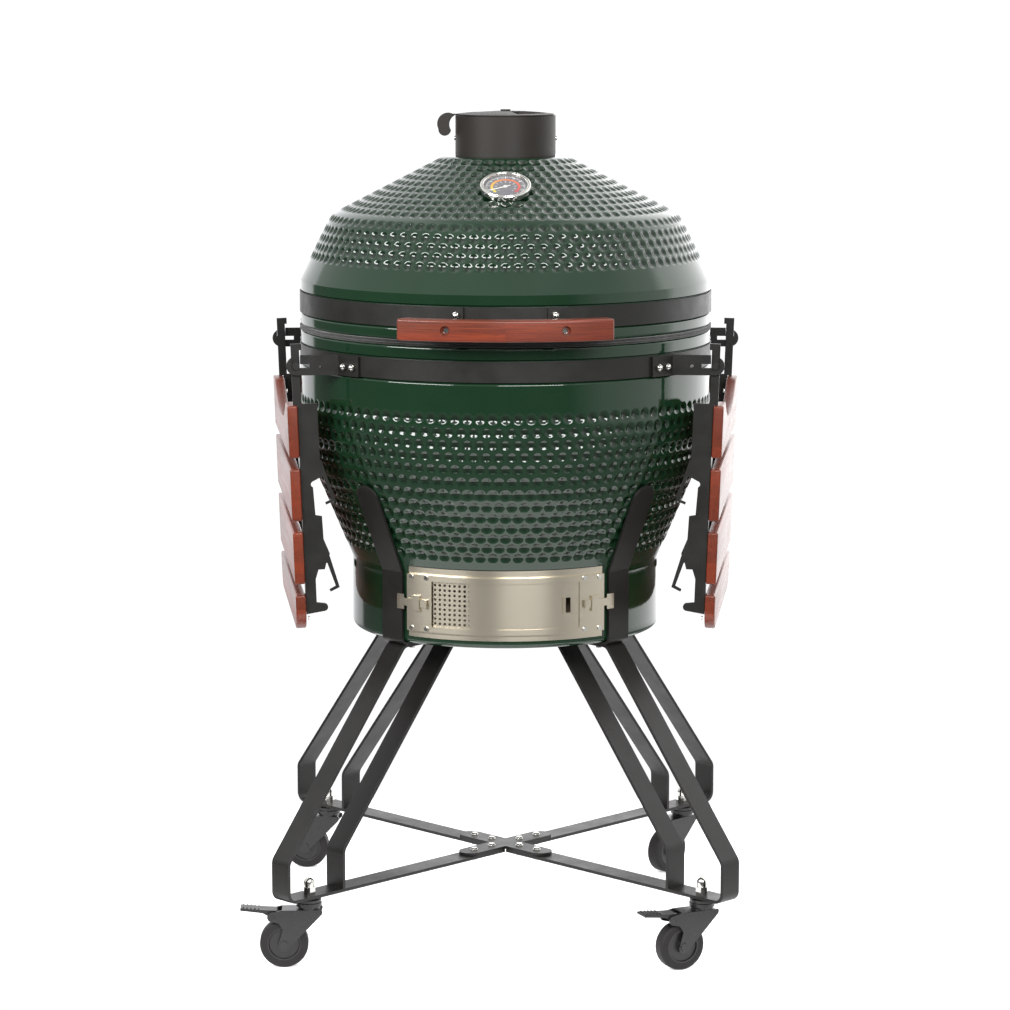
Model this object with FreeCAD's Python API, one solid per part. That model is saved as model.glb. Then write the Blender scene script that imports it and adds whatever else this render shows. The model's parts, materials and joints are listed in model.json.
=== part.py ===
import FreeCAD, Part
import math
import os

# A ceramic kamado grill on a wheeled cart.
# Millimetres. Origin on the floor under the body's axis, +Z up, front along -Y, +X to the right.
# Angles called "turn" are measured about the body's axis from the front (-Y) towards +X.

# ---- driving dimensions -------------------------------------------------------------
# Ceramic body
BODY_R = 329.0           # outer radius of the straight part of bowl and lid
WALL = 25.0              # ceramic wall
FOOT_R = 248.0           # outer radius of the foot
FOOT_Z = 491.0           # underside of the foot
FOOT_TOP_Z = 605.0       # where the foot turns into the flaring bowl
FLARE_R = 295.0          # radius where the straight flare starts to round
FLARE_Z = 716.0
ROUND_Z = 850.0          # where the bowl becomes a straight cylinder
BOWL_TOP_Z = 971.0
SEAM_Z = 975.6           # the two felts meet here
LID_Z = 980.2            # lower edge of the lid's ceramic
LID_STRAIGHT_Z = 1050.0  # top of the lid's straight part
LID_CORNER_R = 277.0     # corner between the steep and the shallow cone
LID_CORNER_Z = 1154.0
LID_TOP_R = 98.0         # edge of the flat on top of the lid
LID_TOP_Z = 1246.0
FLUE_R = 52.0
RECESS = 3.0             # depth of the recess that each band sits in

# Bands
BAND_T = 3.8
LOWER_BAND_Z = (918.0, 950.0)
UPPER_BAND_Z = (1000.0, 1033.0)

# Lid hinge
PIN_Y = 378.0
PIN_Z = 958.0
PIN_R = 5.0

# Bottom vent
VENT_TURN = 37.3         # half the frame's angle
WINDOW_TURN = 27.0       # half the window's angle
VENT_Z = (504.0, 615.0)
WINDOW_Z = (523.0, 595.0)
SHEET_T = 1.2            # door and screen sheet
FRAME_IN_R = FOOT_R + 0.4
FRAME_OUT_R = FRAME_IN_R + 1.6
SCREEN_R = FRAME_OUT_R + 0.5
DOOR_R = SCREEN_R + SHEET_T + 0.5
LIP_R = DOOR_R + SHEET_T + 0.5
LIP_T = 1.3
DOOR_TURNS = (-12.9, 27.5)
SCREEN_TURNS = (-27.5, 13.0)

# Cart
STRAP_W = 38.0
STRAP_T = 5.0
BAR_Z = 111.0            # underside of the horizontal bars
OUTER_LEG_R = 490.0      # distance of the outer leg strap from the axis
INNER_LEG_R = 376.0
OUTER_TOP_R = 243.0      # the same, where the legs start under the foot
INNER_TOP_R = 129.0
KNEE_Z = 176.0
UPRIGHT_T = 4.0
UPRIGHT_W = 45.0
CASTER_R = 433.0         # distance of the swivel axes from the body's axis

# Casters
WHEEL_R = 38.0
WHEEL_W = 24.0
HUB_R = 26.0
TRAIL = 39.0
AXLE_R = 4.0
STEM_R = 6.0

# Side shelves
PIVOT = (350.0, 0.0, 931.7)   # middle of the right shelf's hinge line
SPLAY = 6.6                   # the hinge line opens outwards to the rear by this angle
LEAN = 2.0                    # the hanging shelf leans in by this angle
SHELF_HALF = 220.0            # half the slats' length
SLAT_T = 16.0
SLAT_W = 82.0
SLAT_GAP = 17.5
FIRST_SLAT = 62.0             # distance from the hinge line to the first slat
LAST_SLAT_W = 58.0
BRACKET_U = 211.0             # bracket plates stand this far from the shelf's middle
BRACKET_T = 5.0
HOOK_U = 217.5                # hook plates, beside the bracket plates
SHELF_PIN_R = 3.0

# Handle, thermometer and chimney
HANDLE_Z = 1003.5             # middle of the wooden bar
GAUGE_R = 182.0               # distance of the gauge's middle from the axis
GAUGE_CASE_R = 39.5
CHIMNEY_R = 80.0
CHIMNEY_TOP_Z = 1310.0

V = FreeCAD.Vector
O = V(0, 0, 0)
X = V(1, 0, 0)
Y = V(0, 1, 0)
Z = V(0, 0, 1)

CORNERS = {"front_left": -45.0, "front_right": 45.0, "rear_left": -135.0, "rear_right": 135.0}
# Direction in which each wheel trails behind its stem, counted from +X about +Z.
TRAILS = {"front_left": 182.0, "front_right": 205.0, "rear_left": 172.0, "rear_right": 225.0}
BRAKED = ("front_left", "front_right")

os.makedirs("parts", exist_ok=True)


def save(name, *shapes):
    """Write one node; several solids go in as a compound."""
    solids = []
    for shape in shapes:
        solids += shape.Solids
    result = solids[0] if len(solids) == 1 else Part.makeCompound(solids)
    if not result.isValid():
        print("not valid:", name)
    result.exportStep("parts/" + name + ".step")


# ---- small building blocks ----------------------------------------------------------
def box(x0, x1, y0, y1, z0, z1):
    return Part.makeBox(x1 - x0, y1 - y0, z1 - z0, V(x0, y0, z0))


def rod(radius, start, end):
    a = V(*start)
    b = V(*end)
    return Part.makeCylinder(radius, (b - a).Length, a, b - a)


def ring(r_in, r_out, z0, z1):
    outer = Part.makeCylinder(r_out, z1 - z0, V(0, 0, z0))
    return outer.cut(Part.makeCylinder(r_in, z1 - z0, V(0, 0, z0)))


def sector(r_in, r_out, z0, z1, turn0, turn1):
    """A piece of a ring between two turns."""
    span = turn1 - turn0
    outer = Part.makeCylinder(r_out, z1 - z0, V(0, 0, z0), Z, span)
    inner = Part.makeCylinder(r_in, z1 - z0, V(0, 0, z0), Z, span)
    piece = outer.cut(inner)
    piece.rotate(O, Z, turn0 - 90)
    return piece


def wire_xz(start, *steps):
    """A closed outline in the XZ plane: a step is a point, or (middle, end) for an arc."""
    edges = []
    here = V(start[0], 0, start[1])
    for step in steps + (start,):
        if isinstance(step[0], tuple):
            middle = V(step[0][0], 0, step[0][1])
            end = V(step[1][0], 0, step[1][1])
            edges.append(Part.Arc(here, middle, end).toShape())
        else:
            end = V(step[0], 0, step[1])
            if (end - here).Length < 1e-6:
                continue
            edges.append(Part.makeLine(here, end))
        here = end
    return Part.Wire(edges)


def lathe(start, *steps):
    """Turn an outline of (radius, height) points about the body's axis."""
    return Part.Face(wire_xz(start, *steps)).revolve(O, Z, 360)


def plate_xz(thickness, start, *steps):
    """A flat plate from an outline in XZ, its thickness centred on Y = 0."""
    plate = Part.Face(wire_xz(start, *steps)).extrude(V(0, thickness, 0))
    plate.translate(V(0, -thickness / 2, 0))
    return plate


def ribbon(points, radius, thickness, width):
    """Flat bar that follows points in XZ, bent to a radius at each inner point."""
    path = [V(p[0], 0, p[1]) for p in points]
    sides = {1: [], -1: []}
    count = len(path)
    for side in sides:
        here = None
        for i in range(count):
            if i in (0, count - 1):
                step = path[1] - path[0] if i == 0 else path[-1] - path[-2]
                step.normalize()
                end = path[i] + V(-step.z, 0, step.x) * side * thickness / 2
                if here is not None:
                    sides[side].append(Part.makeLine(here, end))
                here = end
                continue
            before = (path[i] - path[i - 1]).normalize()
            after = (path[i + 1] - path[i]).normalize()
            turn = math.atan2(before.x * after.z - before.z * after.x, before.dot(after))
            towards = 1 if turn > 0 else -1
            normal_a = V(-before.z, 0, before.x)
            normal_b = V(-after.z, 0, after.x)
            back = radius * math.tan(abs(turn) / 2)
            centre = path[i] - before * back + normal_a * towards * radius
            reach = radius - towards * side * thickness / 2
            a = centre - normal_a * towards * reach
            b = centre - normal_b * towards * reach
            middle_way = (normal_a + normal_b).normalize()
            middle = centre - middle_way * towards * reach
            sides[side].append(Part.makeLine(here, a))
            sides[side].append(Part.Arc(a, middle, b).toShape())
            here = b
    left = sides[1]
    right = sides[-1]
    cap_a = Part.makeLine(left[0].Vertexes[0].Point, right[0].Vertexes[0].Point)
    cap_b = Part.makeLine(left[-1].Vertexes[-1].Point, right[-1].Vertexes[-1].Point)
    edges = Part.__sortEdges__(left + right + [cap_a, cap_b])
    bar = Part.Face(Part.Wire(edges)).extrude(V(0, width, 0))
    bar.translate(V(0, -width / 2, 0))
    return bar


def put(shape, turn, radius=0.0, z=0.0):
    """Move a piece made along +X out to a radius and height, and turn it about the axis."""
    piece = shape.copy()
    piece.translate(V(radius, 0, z))
    piece.rotate(O, Z, turn - 90)
    return piece


def mirrored(shape):
    return shape.mirror(O, X)


def hexagon(across, height):
    """A hexagonal prism standing on the origin, across its flats."""
    corner = across / math.sqrt(3)
    points = [V(corner * math.cos(a), corner * math.sin(a), 0)
              for a in [math.radians(60 * i) for i in range(7)]]
    return Part.Face(Part.makePolygon(points)).extrude(V(0, 0, height))


def along_x(shape):
    """Lay a piece that stands on the origin down so that it points along +X."""
    piece = shape.copy()
    piece.rotate(O, Y, 90)
    return piece


def dome_nut(across, hex_height, total_height):
    """Acorn nut: a hexagon with a round cap."""
    cap_r = across / 2 - 0.6
    neck = total_height - cap_r
    nut = hexagon(across, hex_height)
    nut = nut.fuse(Part.makeCylinder(cap_r, neck))
    return nut.fuse(Part.makeSphere(cap_r, V(0, 0, neck), Z, 0, 90, 360)).removeSplitter()


def bolt_head(across, height):
    """Hexagon head on a thin washer."""
    head = Part.makeCylinder(across * 0.68, 1.2)
    top = hexagon(across, height)
    top.translate(V(0, 0, 1.2))
    return head.fuse(top).removeSplitter()


# ---- ceramic body -------------------------------------------------------------------
def bowl():
    flare = (FLARE_R - FOOT_R) / (FLARE_Z - FOOT_TOP_Z)
    inner_foot = FOOT_R - WALL
    floor = FOOT_Z + WALL
    recess_r = BODY_R - RECESS
    low, high = LOWER_BAND_Z
    body = lathe(
        (0, FOOT_Z),
        (FOOT_R - 10, FOOT_Z),
        ((FOOT_R - 2.9, FOOT_Z + 2.9), (FOOT_R, FOOT_Z + 10)),
        (FOOT_R, FOOT_TOP_Z),
        (FLARE_R, FLARE_Z),
        ((320.5, 788), (BODY_R, ROUND_Z)),
        (BODY_R, low - 3),
        (recess_r, low - 1),
        (recess_r, high + 1),
        (BODY_R, high + 3),
        (BODY_R, BOWL_TOP_Z - 4),
        ((BODY_R - 1.2, BOWL_TOP_Z - 1.2), (BODY_R - 4, BOWL_TOP_Z)),
        (BODY_R - WALL, BOWL_TOP_Z),
        (BODY_R - WALL, ROUND_Z),
        ((320.5 - WALL + 1, 788), (FLARE_R - WALL, FLARE_Z + 25 * flare)),
        (inner_foot, FOOT_TOP_Z + 10),
        (inner_foot, floor),
        (0, floor))
    window = sector(FOOT_R - WALL - 30, FOOT_R + 30, WINDOW_Z[0] - 3, WINDOW_Z[1] + 3,
                    -WINDOW_TURN - 0.5, WINDOW_TURN + 0.5)
    seat = sector(FOOT_R, FOOT_R + 12, FOOT_TOP_Z - 2, VENT_Z[1] + 1.5,
                  -VENT_TURN - 1, VENT_TURN + 1)
    return body.cut(window).cut(seat)


def dome():
    recess_r = BODY_R - RECESS
    low, high = UPPER_BAND_Z
    slope = (LID_TOP_Z - LID_CORNER_Z) / (LID_CORNER_R - LID_TOP_R)
    body = lathe(
        (FLUE_R, LID_TOP_Z),
        (FLUE_R, LID_TOP_Z - WALL),
        (LID_TOP_R - 8, LID_TOP_Z - WALL),
        (LID_CORNER_R - 18, LID_CORNER_Z - WALL + 6),
        (BODY_R - WALL, LID_STRAIGHT_Z - 2),
        (BODY_R - WALL, LID_Z),
        (BODY_R - 4, LID_Z),
        ((BODY_R - 1.2, LID_Z + 1.2), (BODY_R, LID_Z + 4)),
        (BODY_R, low - 3),
        (recess_r, low - 1),
        (recess_r, high + 1),
        (BODY_R, high + 3),
        (BODY_R, LID_STRAIGHT_Z),
        ((309.0, 1092.0), (LID_CORNER_R + 5, LID_CORNER_Z - 8)),
        ((LID_CORNER_R, LID_CORNER_Z), (LID_CORNER_R - 9, LID_CORNER_Z + 9 * slope)),
        (LID_TOP_R + 8, LID_TOP_Z - 8 * slope),
        ((LID_TOP_R + 1, LID_TOP_Z - 1), (LID_TOP_R - 6, LID_TOP_Z)))
    return body.cut(on_gauge(Part.makeCylinder(6.5, 90, V(0, 0, -60))))


def felt(z0, z1):
    """Gasket felt; its outer edge bulges a little past the ceramic."""
    inner = BODY_R - WALL + 2
    return lathe((inner, z0), (BODY_R - 0.5, z0),
                 ((BODY_R + 1.5, (z0 + z1) / 2), (BODY_R - 0.5, z1)), (inner, z1))


def band(z_range):
    inner = BODY_R - RECESS + 0.2
    return ring(inner, inner + BAND_T, z_range[0], z_range[1])


BAND_OUT = BODY_R - RECESS + 0.2 + BAND_T


def fire_box():
    """Ceramic pot that stands in the bowl, with an air mouth to the vent and side holes."""
    floor = FOOT_Z + WALL
    pot = lathe(
        (55, floor),
        (205, floor),
        (205, 605),
        (256, 716),
        (280, 800),
        (258, 800),
        (234, 716),
        (196, 632),
        (196, 620),
        (178, 620),
        (178, floor + 20),
        (55, floor + 20))
    mouth = box(-70, 70, -230, -150, floor + 24, 600)
    pot = pot.cut(mouth)
    for i in range(12):
        turn = i * 30 + 15
        hole = rod(9, (180, 0, 690), (300, 0, 690))
        pot = pot.cut(put(hole, turn))
    return pot


def fire_ring():
    """Ceramic ring on the fire box; the cooking grid rests on it."""
    return ring(258, 288, 800, 925)


def charcoal_grate():
    """Cast-iron disc with air slots in three rings."""
    disc = Part.makeCylinder(190, 10, V(0, 0, 620))
    disc = disc.cut(Part.makeCylinder(12, 10, V(0, 0, 620)))
    for radius, count, length in ((50, 8, 36), (100, 12, 40), (150, 18, 44)):
        for i in range(count):
            slot = box(-length / 2, length / 2, -5, 5, 620, 630)
            disc = disc.cut(put(slot, 360 * i / count, radius))
    return disc


def cooking_grid():
    """Round grid: parallel bars inside a rim, with two cross bars under them."""
    low, high = 925.0, 933.0
    disc = Part.makeCylinder(276, high - low, V(0, 0, low))
    pitch = 22.0
    bar = 6.0
    gaps = []
    for i in range(-12, 13):
        x = (i + 0.5) * pitch
        gaps.append(box(x - (pitch - bar) / 2, x + (pitch - bar) / 2, -280, 280, low, high))
    opening = Part.makeCylinder(268, high - low, V(0, 0, low))
    slots = Part.makeCompound(gaps).common(opening)
    for y in (-130, 130):
        slots = slots.cut(box(-280, 280, y - 4, y + 4, low, high - 3))
    return disc.cut(slots)


# ---- lid hinge ----------------------------------------------------------------------
def hinge_lug(x, band_z, hole_r):
    """One ear from a band at the rear to the hinge pin."""
    z0, z1 = band_z
    inner = BAND_OUT + 1.0
    if z0 > PIN_Z:
        outline = ((inner, z0), (PIN_Y - 13, PIN_Z + 6), ((PIN_Y, PIN_Z - 14), (PIN_Y + 13, PIN_Z + 6)),
                   (PIN_Y - 8, z1), (inner, z1))
    else:
        outline = ((inner, z0), (PIN_Y + 4, z0 + 4), (PIN_Y + 13, PIN_Z - 5),
                   ((PIN_Y, PIN_Z + 14), (PIN_Y - 13, PIN_Z - 5)), (inner, z1))
    ear = plate_xz(5, *outline)
    ear = ear.cut(rod(hole_r, (PIN_Y, -5, PIN_Z), (PIN_Y, 5, PIN_Z)))
    ear.rotate(O, Z, 90)
    ear.translate(V(x, 0, 0))
    return ear


def hinge_bracket(band_z, lug_x, hole_r):
    """Curved base on a band at the rear, with two ears for the pin."""
    half = math.degrees(math.asin((lug_x + 14) / BAND_OUT))
    base = sector(BAND_OUT + 0.1, BAND_OUT + 3.6, band_z[0], band_z[1], 180 - half, 180 + half)
    for x in (-lug_x, lug_x):
        base = base.fuse(hinge_lug(x, band_z, hole_r))
    return base


# ---- bottom vent --------------------------------------------------------------------
def vent_frame():
    """Stainless frame with a channel above and below for the screen and the door."""
    z0, z1 = VENT_Z
    w0, w1 = WINDOW_Z
    out_r = LIP_R + LIP_T
    frame = sector(FRAME_IN_R, FRAME_OUT_R, z0, z1, -VENT_TURN, VENT_TURN)
    frame = frame.cut(sector(FRAME_IN_R - 1, FRAME_OUT_R + 1, w0, w1, -WINDOW_TURN, WINDOW_TURN))
    for low, high in ((w1 + 5, w1 + 9), (w0 - 9, w0 - 5)):
        frame = frame.fuse(sector(FRAME_OUT_R, out_r, low, high, -VENT_TURN, VENT_TURN))
    for low, high in ((w1, w1 + 5), (w0 - 5, w0)):
        frame = frame.fuse(sector(LIP_R, out_r, low, high, -VENT_TURN, VENT_TURN))
    for a, b in ((-VENT_TURN, -WINDOW_TURN), (WINDOW_TURN, VENT_TURN)):
        frame = frame.fuse(sector(LIP_R, out_r, w0, w1, a, b))
    return frame.removeSplitter()


def latch(side):
    """Sliding bolt on one side of the vent, with a thumb tab past the frame's edge."""
    base_r = LIP_R + LIP_T + 0.9
    middle = (WINDOW_Z[0] + WINDOW_Z[1]) / 2
    bolt = sector(base_r, base_r + 1.5, middle - 6, middle + 6, 28.5, 40.0)
    tab = sector(base_r, base_r + 1.5, middle - 12, middle + 12, 38.2, 41.4)
    stop = sector(base_r, base_r + 5, middle - 6, middle + 6, 28.5, 29.2)
    piece = bolt.fuse(tab).fuse(stop).removeSplitter()
    return piece if side > 0 else mirrored(piece)


def latch_guide(side):
    """Strap riveted to the frame that holds the latch down."""
    base_r = LIP_R + LIP_T
    middle = (WINDOW_Z[0] + WINDOW_Z[1]) / 2
    strap = sector(base_r + 2.9, base_r + 4.1, middle - 12, middle + 12, 31.5, 34.5)
    for low, high in ((middle - 12, middle - 6.5), (middle + 6.5, middle + 12)):
        strap = strap.fuse(sector(base_r, base_r + 2.9, low, high, 31.5, 34.5))
    strap = strap.removeSplitter()
    return strap if side > 0 else mirrored(strap)


def vent_door():
    """Solid sliding door with a raised thumb slot near its right edge."""
    z0, z1 = WINDOW_Z[0] - 4.5, WINDOW_Z[1] + 4.5
    middle = (z0 + z1) / 2
    a, b = DOOR_TURNS
    door = sector(DOOR_R, DOOR_R + SHEET_T, z0, z1, a, b)
    grip = sector(DOOR_R + SHEET_T, DOOR_R + SHEET_T + 3.5, middle - 14, middle + 14, 20.6, 21.4)
    slot = sector(DOOR_R - 1, DOOR_R + SHEET_T + 1, middle - 12, middle + 12, 21.6, 23.6)
    return door.fuse(grip).cut(slot)


def mesh_screen():
    """Perforated screen behind the door."""
    z0, z1 = WINDOW_Z[0] - 4.5, WINDOW_Z[1] + 4.5
    a, b = SCREEN_TURNS
    sheet = sector(SCREEN_R, SCREEN_R + SHEET_T, z0, z1, a, b)
    pitch = 7.6
    middle = (z0 + z1) / 2
    step = math.degrees(pitch * 1.08 / SCREEN_R)
    columns = int((b - a - 2.0) / step)
    holes = []
    for c in range(columns):
        for r in range(9):
            z = middle + (r - 4) * pitch
            pin = rod(2.1, (SCREEN_R - 3, 0, z), (SCREEN_R + 5, 0, z))
            holes.append(put(pin, a + 1.6 + c * step))
    return sheet.cut(Part.makeCompound(holes))


# ---- cart ---------------------------------------------------------------------------
def leg(turn):
    """Outer strap with its bar to the middle, and the inner strap that stands on the bar."""
    flange = FOOT_Z - UPRIGHT_T - STRAP_T / 2
    bar = BAR_Z + STRAP_T / 2
    outer = ribbon([(INNER_TOP_R - 14, flange), (OUTER_TOP_R, flange), (OUTER_LEG_R, KNEE_Z),
                    (OUTER_LEG_R, bar), (20, bar)], 14, STRAP_T, STRAP_W)
    inner = ribbon([(INNER_TOP_R - 22, flange + 25), (INNER_LEG_R, KNEE_Z + 2),
                    (INNER_LEG_R, bar)], 20, STRAP_T, STRAP_W)
    inner = inner.common(box(0, 500, -100, 100, bar + STRAP_T / 2, flange - STRAP_T / 2))
    outer = outer.cut(rod(STEM_R + 0.05, (CASTER_R, 0, BAR_Z - 5), (CASTER_R, 0, BAR_Z + 10)))
    return [put(outer, turn), put(inner, turn)]


def upright(turn):
    """Strap that grips the foot and follows the flare of the bowl, with a rounded top."""
    centre_r = FOOT_R + 0.5 + UPRIGHT_T / 2
    low = FOOT_Z - UPRIGHT_T / 2
    bend_z = FOOT_TOP_Z - 1
    tip_z = 724.0
    flare = (FLARE_R - FOOT_R) / (FLARE_Z - FOOT_TOP_Z) + 0.8 / (tip_z - bend_z)
    tip_r = centre_r + (tip_z - bend_z) * flare
    strap = ribbon([(150, low), (centre_r, low), (centre_r, bend_z), (tip_r, tip_z)],
                   9, UPRIGHT_T, UPRIGHT_W)
    normal = V(1, 0, -flare).normalize()
    tip = Part.makeCylinder(UPRIGHT_W / 2, UPRIGHT_T, V(tip_r, 0, tip_z) - normal * UPRIGHT_T / 2, normal)
    return put(strap.fuse(tip).removeSplitter(), turn)


def cross_plate():
    """X-shaped plate that ties the four bars."""
    z0 = BAR_Z + STRAP_T
    plate = None
    for turn in CORNERS.values():
        arm = box(0, 80, -STRAP_W / 2, STRAP_W / 2, z0, z0 + 5)
        arm = arm.fuse(Part.makeCylinder(STRAP_W / 2, 5, V(80, 0, z0)))
        arm = put(arm, turn)
        plate = arm if plate is None else plate.fuse(arm)
    return plate.removeSplitter()


def cart_bolts():
    """Bolts of the cross plate and of the uprights, and the dome nuts on the caster stems."""
    pieces = []
    for turn in CORNERS.values():
        for radius in (32, 72):
            head = bolt_head(9, 2.6)
            pieces.append(put(head, turn, radius, BAR_Z + STRAP_T + 5))
            nut = bolt_head(9, 5)
            nut.rotate(O, X, 180)
            pieces.append(put(nut, turn, radius, BAR_Z))
        for radius in (172, 210):
            nut = bolt_head(9, 5)
            nut.rotate(O, X, 180)
            pieces.append(put(nut, turn, radius, FOOT_Z - UPRIGHT_T - STRAP_T))
        nut = dome_nut(18, 11, 26)
        nut = nut.cut(Part.makeCylinder(STEM_R, 18))
        pieces.append(put(nut, turn, CASTER_R, BAR_Z + STRAP_T))
    return pieces


# ---- casters ------------------------------------------------------------------------
def caster_at(shape, name):
    """Put a caster piece, made about its stem with the wheel trailing along +X, on its corner."""
    turn = math.radians(CORNERS[name] - 90)
    piece = shape.copy()
    piece.rotate(O, Z, TRAILS[name])
    piece.translate(V(CASTER_R * math.cos(turn), CASTER_R * math.sin(turn), 0))
    return piece


def caster_stem():
    """Threaded stem with its upper race, clamped to the bar by the dome nut."""
    stem = rod(STEM_R, (0, 0, 86), (0, 0, 133))
    stem = stem.fuse(rod(9, (0, 0, 84), (0, 0, 88)))
    race = rod(19, (0, 0, 103.4), (0, 0, 108))
    collar = rod(13, (0, 0, 108), (0, 0, BAR_Z))
    return stem.fuse(race).fuse(collar).removeSplitter()


def caster_fork(braked):
    """Pressed fork: crown with its race, two cheeks, hood and axle."""
    crown = rod(20, (0, 0, 97), (0, 0, 102.8))
    crown = crown.fuse(rod(17, (0, 0, 90), (0, 0, 97)))
    hood = box(-17, 42, -17, 17, 90, 93)
    fork = crown.fuse(hood)
    reach = 62 if braked else 52
    for y in (-15.5, 15.5):
        cheek = plate_xz(3, (-20, 93), ((-21, 89), (-19, 85)), (TRAIL - 8, 33),
                         ((TRAIL, 27), (TRAIL + 9, 38)), (TRAIL + 2, 62), (TRAIL + 8, 72),
                         (reach, 76), ((reach + 3, 82), (reach, 89)), (42, 93))
        cheek.translate(V(0, y, 0))
        fork = fork.fuse(cheek)
    fork = fork.fuse(rod(AXLE_R, (TRAIL, -18.5, WHEEL_R), (TRAIL, 18.5, WHEEL_R)))
    for y in (-18.5, 17):
        fork = fork.fuse(rod(6.5, (TRAIL, y, WHEEL_R), (TRAIL, y + 1.5, WHEEL_R)))
    fork = fork.cut(rod(STEM_R + 0.06, (0, 0, 86), (0, 0, 110)))
    fork = fork.cut(rod(9.3, (0, 0, 80), (0, 0, 90)))
    if braked:
        fork = fork.cut(rod(2.56, (54, -20, 83), (54, 20, 83)))
    return fork.removeSplitter()


def tyre():
    half = WHEEL_W / 2
    outline = Part.Face(wire_xz(
        (HUB_R, -half), (WHEEL_R - 5, -half), ((WHEEL_R - 1.5, -half + 1.5), (WHEEL_R, -half + 5)),
        (WHEEL_R, half - 5), ((WHEEL_R - 1.5, half - 1.5), (WHEEL_R - 5, half)), (HUB_R, half)))
    tread = outline.revolve(O, Z, 360)
    tread.rotate(O, X, 90)
    tread.translate(V(TRAIL, 0, WHEEL_R))
    return tread


def wheel_hub():
    half = WHEEL_W / 2
    hole = AXLE_R + 0.08
    outline = Part.Face(wire_xz(
        (hole, -half - 1), (9, -half - 1), (9, -half + 3), (HUB_R - 3, -half + 3), (HUB_R - 2, -half),
        (HUB_R, -half), (HUB_R, half), (HUB_R - 2, half), (HUB_R - 3, half - 3), (9, half - 3),
        (9, half + 1), (hole, half + 1)))
    hub = outline.revolve(O, Z, 360)
    hub.rotate(O, X, 90)
    hub.translate(V(TRAIL, 0, WHEEL_R))
    return hub


def brake_pedal():
    """Foot lever on a cross pin between the cheeks, with a ribbed toe."""
    lever = plate_xz(26, (46, 86), (58, 80), (72, 88), (104, 92), ((107, 94), (104, 96)),
                     (72, 93), (50, 92))
    pin = rod(2.5, (54, -17, 83), (54, 17, 83))
    pedal = lever.fuse(pin)
    for i in range(5):
        x = 78 + 6 * i
        z = 94.0 + 0.09 * (x - 78)
        pedal = pedal.fuse(box(x - 1, x + 1, -11, 11, z - 2, z + 1.2))
    return pedal.removeSplitter()


# ---- side shelves -------------------------------------------------------------------
def on_shelf(shape, side):
    """Take a piece from the shelf's frame to its place.

    There X points out of the shelf, Y runs along the hinge line to the rear, and Z is down
    from the hinge line as negative values.
    """
    piece = shape.copy()
    piece.rotate(O, Y, LEAN)
    piece.rotate(O, Z, -SPLAY)
    piece.translate(V(*PIVOT))
    return piece if side > 0 else mirrored(piece)


def shelf_slats(side):
    """Four boards; the first has a round notch for the body, the last has round corners."""
    boards = []
    top = -FIRST_SLAT
    for i in range(4):
        width = LAST_SLAT_W if i == 3 else SLAT_W
        board = box(0, SLAT_T, -SHELF_HALF, SHELF_HALF, top - width, top)
        if i == 0:
            board = board.cut(rod(355, (-5, 0, top + 355 - 39), (SLAT_T + 5, 0, top + 355 - 39)))
        if i == 3:
            for end in (-1, 1):
                corner = 38.0
                y = end * (SHELF_HALF - corner)
                far = end * (SHELF_HALF + 1)
                square = box(-1, SLAT_T + 1, min(y, far), max(y, far), top - width - 1,
                             top - width + corner)
                keep = rod(corner, (-1, y, top - width + corner), (SLAT_T + 1, y, top - width + corner))
                board = board.cut(square.cut(keep))
        boards.append(on_shelf(board, side))
        top -= width + SLAT_GAP
    return boards


def shelf_bracket(side):
    """Two bracket plates with their posts, hinge pins and screw flanges."""
    pieces = []
    for end in (-1, 1):
        plate = plate_xz(BRACKET_T, (-0.5, -60), (-31, -60), (-32, -176), (-20, -182),
                         ((-16, -186), (-19, -192)), (-21, -236), (-31, -238), (-32, -274),
                         (-41, -298), (-37, -303), (-32, -322), (-22, -322), (-17, -337),
                         (-17, -374), (-30, -376), ((-34.5, -382), (-30, -388)), (-0.5, -392))
        upper_arm = plate_xz(BRACKET_T, (-29, -150), (-34, -150), (-53, -214), (-38, -220),
                             (-37, -216.5), (-47, -212.5), (-36, -176), (-29, -176))
        lower_arm = plate_xz(BRACKET_T, (-30, -296), (-39, -296), (-54, -351.5), (-39.5, -358),
                             (-38, -354.5), (-48, -349.5), (-36, -312), (-30, -312))
        plate = plate.fuse(upper_arm).fuse(lower_arm)
        post = box(-6.5, 6.5, -BRACKET_T / 2, BRACKET_T / 2, -62, 24)
        head = box(-10, 6.5, -BRACKET_T / 2, BRACKET_T / 2, 24, 34)
        flange = box(-3.5, -0.5, -BRACKET_T / 2 - 20, -BRACKET_T / 2, -388, -66)
        pin = rod(SHELF_PIN_R, (0, -BRACKET_T / 2 - 0.1, 0), (0, -11.0, 0))
        cap = rod(5.5, (0, -13.0, 0), (0, -11.0, 0))
        if end < 0:
            flange = flange.mirror(O, Y)
        else:
            pin = pin.mirror(O, Y)
            cap = cap.mirror(O, Y)
        piece = plate.fuse(post).fuse(head).fuse(flange).fuse(pin).fuse(cap)
        piece.translate(V(0, end * BRACKET_U, 0))
        pieces.append(on_shelf(piece, side))
    return pieces


def shelf_screws(side):
    """Screw heads on the flanges, two for each board and bracket."""
    heads = []
    top = -FIRST_SLAT
    for i in range(4):
        width = LAST_SLAT_W if i == 3 else SLAT_W
        for z in (top - width * 0.3, top - width * 0.7):
            for end in (-1, 1):
                y = end * (BRACKET_U - BRACKET_T / 2 - 10)
                heads.append(on_shelf(rod(4, (-5.5, y, z), (-3.5, y, z)), side))
        top -= width + SLAT_GAP
    return heads


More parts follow.
